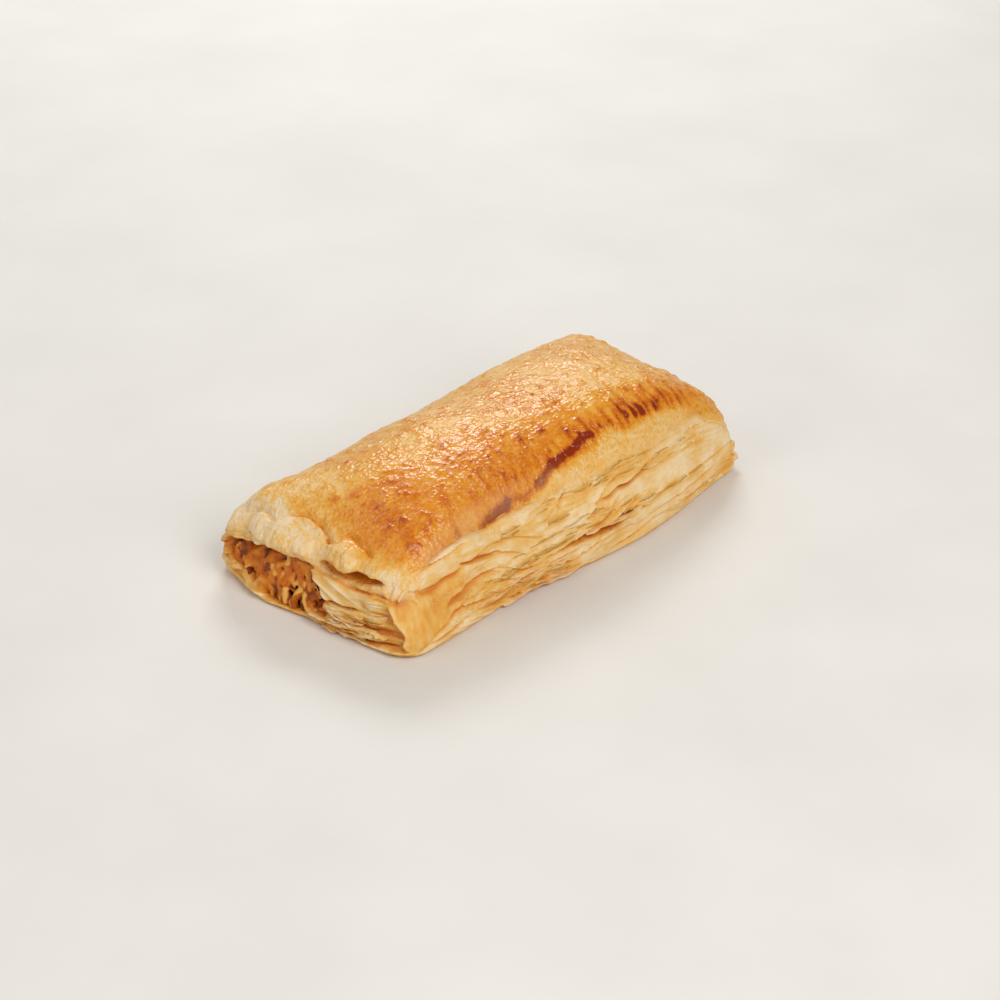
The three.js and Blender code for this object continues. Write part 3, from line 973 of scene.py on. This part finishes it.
def standing_leaf(rng, wall, fields):
    """Both faces of a small leaf that stands out of a wall."""
    size = LEAVES[wall]
    half_run = (LENGTH if wall == "sealed" else WIDTH) / 2 - size.clear
    t = np.linspace(0, 1, LEAF_STEPS.along + 1)
    length = rng.uniform(*size.length) * rng.uniform(0.5, 1.0)
    along = rng.uniform(-half_run, half_run - length) + length * t
    share = rng.uniform(*size.up)
    waves = 0.5 * wave(rng, along, 0.15, 0.4)
    waves += 0.22 * wave(rng, along, 0.6, 1.4)
    height = share * np.interp(along, wall_line(wall), fields.edges[wall]) + waves
    ragged = ragged_line(rng, 0.5, len(t))
    reach = rng.uniform(*size.reach) * np.sin(math.pi * t) ** 0.6 * np.maximum(1 + ragged, 0.1)
    curl = rng.uniform(-0.7, 0.5)
    out = np.linspace(0, 1, LEAF_STEPS.out + 1)[:, None]
    up = np.maximum(height + curl * out**2 * reach, 0.4)
    middle = off_wall(wall, fields.places[wall], along, up, -LEAF_ROOT + out * (LEAF_ROOT + reach))
    lift = np.zeros_like(middle)
    lift[..., 2] = np.linspace(LEAF_THICKNESS.root, LEAF_THICKNESS.tip, len(middle))[:, None] / 2
    return middle + lift, middle - lift


def loose_sheet(rng, wall, surface, edge):
    """Both faces of a thin sheet that lies against a wall, loose along its lower edge."""
    size = LOOSE[wall]
    t = np.linspace(0, 1, LOOSE_STEPS.along + 1)
    up = np.linspace(0, 1, LOOSE_STEPS.up + 1)[:, None]
    length = rng.uniform(*size.length)
    first, last = size.along
    along = rng.uniform(first, last - length) + length * t
    share = rng.uniform(0.1, size.top)
    waves = rng.uniform(0.2, 0.8) * wave(rng, along, 0.1, 0.35)
    ragged = ragged_line(rng, 0.12, len(t))
    slope = rng.uniform(-0.07, 0.07) * length * (t - 0.5)
    low = share * np.interp(along, wall_line(wall), edge) + waves + ragged + slope
    height = rng.uniform(*size.height) * (0.3 + 0.7 * np.sin(math.pi * t) ** 0.7)
    taper = np.sin(math.pi * np.clip(t, 0.02, 0.98)) ** 0.5
    lift = rng.uniform(*size.lift) * taper * (1 + 0.5 * np.sin(rng.uniform(*ANY_PHASE) + 0.5 * along))
    heights = np.clip(low + up * height, 0.6, None)
    out = lift * (1 - up) ** 1.5 - LOOSE_ROOT * (up + 0.6 * (1 - taper))
    thickness = LOOSE_THICKNESS.edge + (LOOSE_THICKNESS.root - LOOSE_THICKNESS.edge) * up
    return [off_wall(wall, surface, along, heights, away) for away in (out, out - thickness)]


def wall_surface(dough, wall, places):
    """Where the dough's surface lies on a wall, by place along it and height, smoothed."""
    inside = dough > 0
    if wall == "sealed":
        surface = YS[inside.argmax(axis=1)]
        found = inside.any(axis=1)
    else:
        flipped = inside if wall == "near" else inside[::-1]
        surface = (XS if wall == "near" else XS[::-1])[flipped.argmax(axis=0)]
        found = flipped.any(axis=0)
    shallow = found & (np.abs(surface - places[wall]) < HOLLOW_DEPTH)
    surface = np.where(shallow, surface, places[wall])
    for _ in range(SURFACE_PASSES):
        for axis in (0, 1):
            surface = 0.5 * surface + 0.25 * (np.roll(surface, 1, axis) + np.roll(surface, -1, axis))
    return surface


def covers_pocket(leaf):
    """Whether a sheet of the sealed side hangs over one of its pockets."""
    x, z = leaf[..., 0], leaf[..., 2]
    covered = np.zeros(x.shape, dtype=bool)
    for pocket in SIDE_POCKETS:
        over = np.abs(x - pocket.along) < 0.8 * pocket.length
        covered |= over & (np.abs(z - pocket.z) < pocket.gap + 0.8)
    return covered.mean() > 0.05


def crosses_mouth(leaf):
    """Whether a leaf of an end lies in front of the filling, the curtain, the frill or the cavity by them."""
    y, z = leaf[..., 1], leaf[..., 2]
    crosses = np.abs(y - FILLING.y) < FILLING.width + 1.5
    crosses &= z < FILLING.z + FILLING.height + 2.0
    for part in (FRILL, CURTAIN):
        crosses |= np.hypot((y - part.y) / part.width, (z - part.z) / part.height) < 0.9
    across, up = (y - CAVITY.along) / (CAVITY.length + 2), (z - CAVITY.z) / (CAVITY.gap + 2)
    return bool(np.any(crosses | (np.hypot(across, up) < 1)))


def standing_leaves(fields):
    """Faces of all small leaves that stand out of the walls."""
    rng = np.random.default_rng(81)
    leaves = []
    for wall, size in LEAVES.items():
        made = [standing_leaf(rng, wall, fields) for _ in range(size.count)]
        leaves += [leaf for leaf in made if wall == "sealed" or not crosses_mouth(leaf[0])]
    return leaves


def loose_sheets(fields):
    """Faces of the thin sheets that lie against each wall."""
    rng = np.random.default_rng(82)
    sheets = {}
    for wall, size in LOOSE.items():
        surface = wall_surface(fields.dough, wall, fields.places)
        in_the_way = covers_pocket if wall == "sealed" else crosses_mouth
        made = [loose_sheet(rng, wall, surface, fields.edges[wall]) for _ in range(size.count)]
        sheets[wall] = [sheet for sheet in made if not in_the_way(sheet[0])]
    return sheets


def loose_edges(sheets, wall):
    """1 just under the loose edges of a wall's thin sheets, 0 elsewhere, by place along it and height."""
    line = wall_line(wall)
    axis = 0 if wall == "sealed" else 1
    marks = np.zeros((len(line), len(ZS)))
    for outer_face, _ in sheets:
        along, height = outer_face[0, :, axis], outer_face[0, :, 2]
        run = slice(*np.searchsorted(line, [along[0], along[-1]]))
        edge = np.interp(line[run], along, height)
        marks[run] = np.maximum(marks[run], bell(ZS[None, :] - edge[:, None] + 0.65, 0.45))
    return marks


def paint_shade_under_loose_edges(fields, sheets):
    """Paints golden shade on the dough under the loose edges of the thin sheets, where their shadow falls."""
    marks = {wall: loose_edges(sheets[wall], wall) for wall in sheets}
    on_ends = np.where(X3 < 0, marks["near"][None], marks["far"][None])
    on_side = marks["sealed"][:, None, :] * (Y3 < 0)
    fields.shade = EDGE_SHADE * (fields.on_end * on_ends + (1 - fields.on_end) * on_side)
    fields.crease = fields.crease + fields.shade


# Meshes

def thick_leaf(upper_face, lower_face):
    """Closed thin solid between the two faces of a leaf: its vertices, its faces and those of its rim."""
    rows, columns = upper_face.shape[:2]
    points = np.concatenate([upper_face.reshape(-1, 3), lower_face.reshape(-1, 3)])
    index = np.arange(rows * columns).reshape(rows, columns)
    below = index + rows * columns
    upper = [index[:-1, :-1], index[:-1, 1:], index[1:, 1:], index[1:, :-1]]
    lower = [below[:-1, :-1], below[1:, :-1], below[1:, 1:], below[:-1, 1:]]
    faces = [np.stack([corner.ravel() for corner in side], axis=1) for side in (upper, lower)]
    rim = np.concatenate([index[0, :], index[1:, -1], index[-1, -2::-1], index[-2:0:-1, 0]])
    following = np.roll(rim, -1)
    rim_faces = np.stack([following, rim, rim + rows * columns, following + rows * columns], axis=1)
    return points, np.concatenate(faces), rim_faces


def leaves_mesh(name, leaves):
    """One mesh of closed leaves, with smooth faces and sharp rims, and 1 for each vertex of a hidden face."""
    points, faces, smooth, behind, count = [], [], [], [], 0
    for leaf in leaves:
        leaf_points, leaf_faces, rim = thick_leaf(*leaf)
        points.append(leaf_points)
        faces += [leaf_faces + count, rim + count]
        smooth += [True] * len(leaf_faces) + [False] * len(rim)
        behind.append(np.repeat([0.0, 1.0], len(leaf_points) // 2))
        count += len(leaf_points)
    mesh = bpy.data.meshes.new(name)
    mesh.from_pydata(np.concatenate(points), [], np.concatenate(faces).tolist())
    turned_out = bmesh.new()
    turned_out.from_mesh(mesh)
    bmesh.ops.recalc_face_normals(turned_out, faces=turned_out.faces)
    turned_out.to_mesh(mesh)
    turned_out.free()
    mesh.polygons.foreach_set("use_smooth", smooth)
    return mesh, np.concatenate(behind)


def soften(field):
    """Blends each grid point a little with its neighbours."""
    for axis in range(3):
        ahead = np.roll(field, 1, axis)
        behind = np.roll(field, -1, axis)
        field = 0.5 * field + 0.25 * (ahead + behind)
    return field


def largest_body(points, quads):
    """Leaves out loose scraps and sealed bubbles."""
    edges = np.concatenate([quads[:, [0, 1]], quads[:, [1, 2]], quads[:, [2, 3]]])
    label = np.arange(len(points))
    while True:
        low = np.minimum(label[edges[:, 0]], label[edges[:, 1]])
        joined = label.copy()
        np.minimum.at(joined, label[edges[:, 0]], low)
        np.minimum.at(joined, label[edges[:, 1]], low)
        joined = joined[joined]
        if np.array_equal(joined, label):
            break
        label = joined
    kept = label == np.bincount(label).argmax()
    renumbered = np.cumsum(kept) - 1
    return points[kept], renumbered[quads[kept[quads[:, 0]]]]


def mesh_from_field(name, field):
    """Piece whose surface lies where the field is zero, reduced to its number of triangles."""
    outside = np.clip(-soften(field), -FAR_OUTSIDE, FAR_OUTSIDE).astype(np.float32)
    grid = openvdb.FloatGrid(FAR_OUTSIDE)
    grid.copyFromArray(outside)
    points, quads = grid.convertToQuads(isovalue=0.0)
    points, quads = largest_body(points, quads.astype(np.int64))
    mesh = bpy.data.meshes.new(name)
    mesh.from_pydata(points * CELL + GRID_LOW, [], quads.tolist())
    piece = add_piece(name, mesh)
    reduce_triangles(piece, TRIANGLES[name])
    return piece


def add_piece(name, mesh):
    piece = bpy.data.objects.new(name, mesh)
    bpy.context.collection.objects.link(piece)
    return piece


def reduce_triangles(piece, triangles):
    modifier = piece.modifiers.new("reduce", "DECIMATE")
    modifier.ratio = min(1.0, triangles / (2 * len(piece.data.polygons)))
    reduced = piece.evaluated_get(bpy.context.evaluated_depsgraph_get())
    mesh = bpy.data.meshes.new_from_object(reduced)
    piece.modifiers.clear()
    piece.data = mesh
    mesh.name = piece.name
    mesh.polygons.foreach_set("use_smooth", [True] * len(mesh.polygons))


def vertex_values(mesh, name):
    """A value of each vertex that has three numbers, such as its place or its normal."""
    values = np.empty(3 * len(mesh.vertices), dtype=np.float32)
    mesh.vertices.foreach_get(name, values)
    return values.reshape(-1, 3)


def vertex_places(mesh):
    return vertex_values(mesh, "co").astype(float)


def add_attribute(mesh, name, values):
    attribute = mesh.attributes.new(name, "FLOAT", "POINT")
    attribute.data.foreach_set("value", np.asarray(values, dtype=np.float32))


# Materials

def srgb(red, green, blue):
    """Colour of a surface from its sRGB values, from 0 to 255."""
    def linear(value):
        share = value / 255
        return share / 12.92 if share <= 0.04045 else ((share + 0.055) / 1.055) ** 2.4
    return (linear(red), linear(green), linear(blue), 1.0)


# Colour ramps: place on the ramp, then the colour there
CRUST_RAMP = [
    (0.0, srgb(236, 208, 166)),
    (0.18, srgb(236, 191, 116)),
    (0.38, srgb(233, 167, 60)),
    (0.56, srgb(226, 140, 30)),
    (0.74, srgb(208, 108, 16)),
    (1.0, srgb(142, 42, 4)),
]
# Pale flecks: partly dried glaze and partly painted glints of light.
FROST_AND_GLINT = srgb(248, 226, 192)
LAYER_RAMP = [
    (0.0, srgb(241, 213, 168)),
    (0.3, srgb(234, 187, 108)),
    (0.55, srgb(229, 166, 70)),
    (1.0, srgb(214, 126, 42)),
]
SHEET_TONE = Named(side=0.12, ends=0.26)  # how golden the bare sheets are all over
FILLING_RAMP = [
    (0.0, srgb(70, 26, 4)),
    (0.3, srgb(138, 62, 6)),
    (0.5, srgb(188, 92, 6)),
    (0.75, srgb(210, 124, 16)),
    (1.0, srgb(228, 174, 88)),
]
FLOOR_RAMP = [(0.3, srgb(227, 223, 215)), (0.7, srgb(233, 229, 222))]
ROUGHNESS = Named(bare=0.6, crust=0.27, glaze=0.13, filling=0.36, floor=0.7)
SPECULAR = Named(dough=0.4, filling=0.28)


class Look:
    """A material, with short names for the nodes that its values are worked out by."""

    def __init__(self, name):
        self.material = bpy.data.materials.new(name)
        self.material.use_nodes = True
        self.tree = self.material.node_tree
        self.shader = self.tree.nodes["Principled BSDF"]

    def put(self, node, socket, value):
        """Sets a socket to a plain value, or links it when the value is another node's output."""
        if isinstance(value, bpy.types.NodeSocket):
            self.tree.links.new(value, node.inputs[socket])
        else:
            node.inputs[socket].default_value = value

    def node(self, kind, inputs, **settings):
        node = self.tree.nodes.new("ShaderNode" + kind)
        for name, value in settings.items():
            setattr(node, name, value)
        for socket, value in inputs.items():
            self.put(node, socket, value)
        return node

    def surface(self, colour, roughness, specular=None, normal=None):
        """Gives the shader its values and returns the finished material."""
        self.put(self.shader, "Base Color", colour)
        self.put(self.shader, "Roughness", roughness)
        if specular is not None:
            self.put(self.shader, "Specular IOR Level", specular)
        if normal is not None:
            self.put(self.shader, "Normal", normal)
        return self.material

    def attribute(self, name):
        return self.node("Attribute", {}, attribute_name=name).outputs["Fac"]

    def object_place(self):
        return self.node("TexCoord", {}).outputs["Object"]

    def math(self, operation, a, b):
        return self.node("Math", {0: a, 1: b}, operation=operation).outputs[0]

    def times(self, a, b):
        return self.math("MULTIPLY", a, b)

    def plus(self, total, *others):
        for other in others:
            total = self.math("ADD", total, other)
        return total

    def wobble(self, value, pattern, amount):
        """The value, moved up and down by a pattern that lies between 0 and 1."""
        return self.plus(value, self.times(self.math("SUBTRACT", pattern, 0.5), amount))

    def span(self, value, low, high):
        """Goes from 0 to 1 as the value goes from low to high."""
        inputs = {"Value": value, "From Min": low, "From Max": high}
        return self.node("MapRange", inputs, interpolation_type="SMOOTHSTEP").outputs["Result"]

    def blend(self, factor, a, b):
        return self.node("Mix", {"Factor": factor, 2: a, 3: b}).outputs[0]

    def blend_colour(self, factor, a, b):
        return self.node("Mix", {"Factor": factor, 6: a, 7: b}, data_type="RGBA").outputs[2]

    def ramp(self, factor, stops):
        node = self.node("ValToRGB", {"Fac": factor})
        elements = node.color_ramp.elements
        for place, colour in stops[1:-1]:
            elements.new(place).color = colour
        elements[0].position, elements[0].color = stops[0]
        elements[-1].position, elements[-1].color = stops[-1]
        return node.outputs["Color"]

    def bump(self, height, strength, distance_mm):
        inputs = {"Strength": strength, "Distance": distance_mm * MM, "Height": height}
        return self.node("Bump", inputs).outputs["Normal"]

    def speckle(self, size_mm, detail, stretch=(1, 1, 1)):
        """Noise between 0 and 1 whose grains are about so many millimetres wide."""
        shares = [1 / factor for factor in stretch]
        scaled = self.node("VectorMath", {0: self.object_place(), 1: shares}, operation="MULTIPLY")
        inputs = {"Vector": scaled.outputs[0], "Scale": 1 / (size_mm * MM), "Detail": detail}
        return self.node("TexNoise", inputs).outputs["Fac"]

    def lamination(self, run_mm, leaves):
        """Noise in thin leaves that follow the sheets, with so many leaves to a sheet."""
        split = self.node("SeparateXYZ", {0: self.object_place()})
        inputs = {axis: self.times(split.outputs[axis], 1 / (run_mm * MM)) for axis in "XY"}
        inputs["Z"] = self.times(self.attribute("level"), leaves)
        joined = self.node("CombineXYZ", inputs)
        inputs = {"Vector": joined.outputs[0], "Scale": 1.0, "Detail": 3.0}
        return self.node("TexNoise", inputs).outputs["Fac"]


def crust_colour(look, browning):
    """Egg-washed crust that browns by place, with dark glaze pooled along its shoulder, painted shade in its
    cracks and pale flecks that are partly painted glints.
    """
    pale = look.math("SUBTRACT", 0.75, browning)
    browned = look.wobble(browning, look.speckle(1.6, 2, (1.5, 0.8, 1)), pale)
    browned = look.wobble(browned, look.speckle(0.8, 1), 0.35)
    browned = look.wobble(browned, look.speckle(4.5, 3, (1.0, 0.5, 1.0)), 0.3)
    glazed = look.wobble(look.attribute("glaze"), look.speckle(0.9, 3), 0.4)
    darkened = look.times(look.span(glazed, 0.12, 0.9), 0.52)
    # Painted shade: browner in the cracks, the deeper they lie.
    painted_crack_shade = look.times(look.span(look.attribute("recess"), 0.7, 2.4), 0.35)
    total = look.plus(browned, darkened, painted_crack_shade)
    # Pale flecks where the crust is glossy: partly dried glaze and partly painted glints of light.
    flecks = look.span(look.speckle(1.0, 1, (1.5, 0.8, 1)), 0.52, 0.66)
    frost_and_glint_share = look.times(flecks, look.attribute("frost"))
    return look.blend_colour(frost_and_glint_share, look.ramp(total, CRUST_RAMP), FROST_AND_GLINT)


def layer_colour(look):
    """Bare sheets of dough: pale at their edges and golden in their creases, as painted highlight and painted
    shade.
    """
    on_end, flap = look.attribute("on_end"), look.attribute("flap")
    # Painted shade: more golden the deeper a place lies behind the bare form, the more the dough hems it in,
    # and where shade is painted in creases, grooves, under loose edges, on downward faces and behind leaves;
    # paler where highlight is painted on ridges and rims.
    depth = look.times(look.span(look.attribute("recess"), -0.2, 2.2), 0.7)
    hollow = look.times(look.span(look.attribute("crowding"), 0.5, 0.75), 0.25)
    crease = look.times(look.attribute("crease"), 0.55)
    lines = look.blend(look.attribute("smooth"), look.blend(on_end, 0.4, 1.0), 0.1)
    toned = look.wobble(look.plus(depth, hollow, crease), look.lamination(3.5, 2.0), lines)
    toned = look.wobble(toned, look.speckle(7.0, 3), 0.9)
    toned = look.wobble(toned, look.speckle(1.6, 3, (1, 1, 6)), look.times(flap, 0.8))
    all_over = look.blend(on_end, SHEET_TONE.side, SHEET_TONE.ends)
    return look.ramp(look.plus(toned, look.times(flap, 0.32), all_over), LAYER_RAMP)


def crust_grain(look):
    """Height of the fine grain in the glaze, calmer in some patches than in others."""
    patches = look.span(look.speckle(8.0, 1, (1.4, 0.8, 1)), 0.38, 0.6)
    grain = look.plus(look.speckle(0.9, 0), look.speckle(1.5, 0, (1.6, 0.8, 1)))
    return look.times(look.math("SUBTRACT", grain, 1.0), look.blend(patches, 0.6, 1.1))


def layer_grain(look):
    """Height of the fine leaves in the bare sheets."""
    strength = look.blend(look.attribute("on_end"), 1.2, 3.0)
    strength = look.blend(look.attribute("smooth"), strength, 0.2)
    return look.times(look.lamination(3.0, 2.4), strength)


def dough_material():
    """Glossy crust above and matt, finely laminated sheets on the walls."""
    look = Look("baked_dough")
    browning, on_crust = look.attribute("browning"), look.attribute("crust")
    colour = look.blend_colour(on_crust, layer_colour(look), crust_colour(look, browning))
    glossy = look.times(on_crust, look.span(browning, 0.15, 0.45))
    pooled = look.span(look.attribute("glaze"), 0.2, 0.8)
    roughness = look.blend(pooled, look.blend(glossy, ROUGHNESS.bare, ROUGHNESS.crust), ROUGHNESS.glaze)
    grain = look.blend(on_crust, layer_grain(look), crust_grain(look))
    return look.surface(colour, roughness, SPECULAR.dough, look.bump(grain, 0.7, 0.5))


def filling_material():
    """Moist shredded meat in an orange-brown sauce."""
    look = Look("turkey_filling")
    tone = look.wobble(look.attribute("tone"), look.speckle(1.4, 4), 0.5)
    # Painted shade: darker where the shreds hem each other in.
    colour = look.ramp(look.wobble(tone, look.attribute("crowding"), -0.6), FILLING_RAMP)
    normal = look.bump(look.speckle(0.9, 4), 0.6, 0.5)
    return look.surface(colour, ROUGHNESS.filling, SPECULAR.filling, normal)


# Pieces

def settle(piece, node, material):
    """Gives a piece its place in the part's frame, its material and the solid that it stands for."""
    places = (vertex_places(piece.data) + FORM_ORIGIN) * MM
    piece.data.vertices.foreach_set("co", places.ravel())
    piece.data.update()
    piece.data.materials.append(material)
    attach(piece, "root")
    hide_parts(node)


def add_pastry(fields):
    material = dough_material()
    sheets = loose_sheets(fields)
    paint_shade_under_loose_edges(fields, sheets)
    solid = {"glazed_crust": fields.in_crust, "dough_layers": PIECE_OVERLAP - fields.in_crust}
    for name, part in solid.items():
        piece = mesh_from_field(name, np.minimum(fields.dough, part))
        colour_dough(piece.data, fields)
        settle(piece, "pastry", material)
    thin = {"loose_leaves": standing_leaves(fields), "thin_sheets": sum(sheets.values(), [])}
    for name, leaves in thin.items():
        mesh, behind = leaves_mesh(name, leaves)
        colour_dough(mesh, fields, behind)
        settle(add_piece(name, mesh), "pastry", material)


def add_filling(fields):
    field, tone = make_filling(fields.depths)
    piece = mesh_from_field("shredded_filling", field)
    places = vertex_places(piece.data)
    # How hemmed in the filling is, for the shade painted in its crevices.
    add_attribute(piece.data, "crowding", values_at(crowding(field, 1.0), places))
    add_attribute(piece.data, "tone", values_at(tone, places))
    settle(piece, "filling", filling_material())


# Stage: floor, light and camera

VIEW = Named(azimuth=-47.5, elevation=31.2, distance=822.6 * MM, lens=100.8, sensor=36.0)
VIEW_TARGET = Vector(FORM_ORIGIN + (-8.5, -13.1, 14.2)) * MM
LIGHT_TARGET = Vector((0, 0, 0.02))
SOFTBOXES = table(
    "name azimuth elevation distance size power tint",
    ("back_softbox", 134, 36, 1.0, (0.42, 0.2), 4.3, (0.93, 0.96, 1.0)),
    ("fold_softbox", 178, 40, 1.2, (0.9, 0.9), 1.9, (1.0, 1.0, 1.0)),
    ("key_softbox", -12, 42, 1.1, (0.7, 0.7), 7.8, (1.0, 1.0, 1.0)),
    ("near_softbox", -105, 34, 1.2, (0.7, 0.7), 3.4, (1.0, 1.0, 1.0)),
)
AIR = Named(colour=(1.0, 0.95, 0.86, 1.0), strength=0.2)
FLOOR = Named(size=6.0, z=-0.0002, mottling_mm=60)


def place_round(name, data, target, setting, centre):
    """Adds a camera or a light that stands round the centre and looks at the target."""
    azimuth, elevation = math.radians(setting.azimuth), math.radians(setting.elevation)
    flat = math.cos(elevation)
    direction = Vector((math.sin(azimuth) * flat, -math.cos(azimuth) * flat, math.sin(elevation)))
    thing = bpy.data.objects.new(name, data)
    thing.location = centre + direction * setting.distance
    thing.rotation_euler = (target - thing.location).to_track_quat("-Z", "Y").to_euler()
    bpy.context.collection.objects.link(thing)
    return thing


def add_camera():
    data = bpy.data.cameras.new("view")
    data.lens = VIEW.lens
    data.sensor_width = VIEW.sensor
    data.clip_start = 0.01
    bpy.context.scene.camera = place_round("view", data, VIEW_TARGET, VIEW, VIEW_TARGET)


def add_light():
    for box in SOFTBOXES:
        data = bpy.data.lights.new(box.name, "AREA")
        data.shape = "RECTANGLE"
        data.size, data.size_y = box.size
        data.energy = box.power
        data.color = box.tint
        place_round(box.name, data, LIGHT_TARGET, box, Vector())
    world = bpy.data.worlds.new("studio")
    world.use_nodes = True
    background = world.node_tree.nodes["Background"]
    background.inputs["Color"].default_value = AIR.colour
    background.inputs["Strength"].default_value = AIR.strength
    bpy.context.scene.world = world
    bpy.context.scene.view_settings.view_transform = "Standard"


def add_floor():
    bpy.ops.mesh.primitive_plane_add(size=FLOOR.size, location=(0, 0, FLOOR.z))
    floor = bpy.context.object
    floor.name = "floor"
    look = Look("pale_floor")
    tone = look.ramp(look.speckle(FLOOR.mottling_mm, 3), FLOOR_RAMP)
    floor.data.materials.append(look.surface(tone, ROUGHNESS.floor))


def main():
    fields = make_fields()
    # How hemmed in the dough is, for the shade painted in its hollows.
    fields.crowding = crowding(fields.dough, 1.2)
    add_pastry(fields)
    add_filling(fields)
    add_floor()
    add_light()
    add_camera()
    bpy.context.view_layer.update()


main()
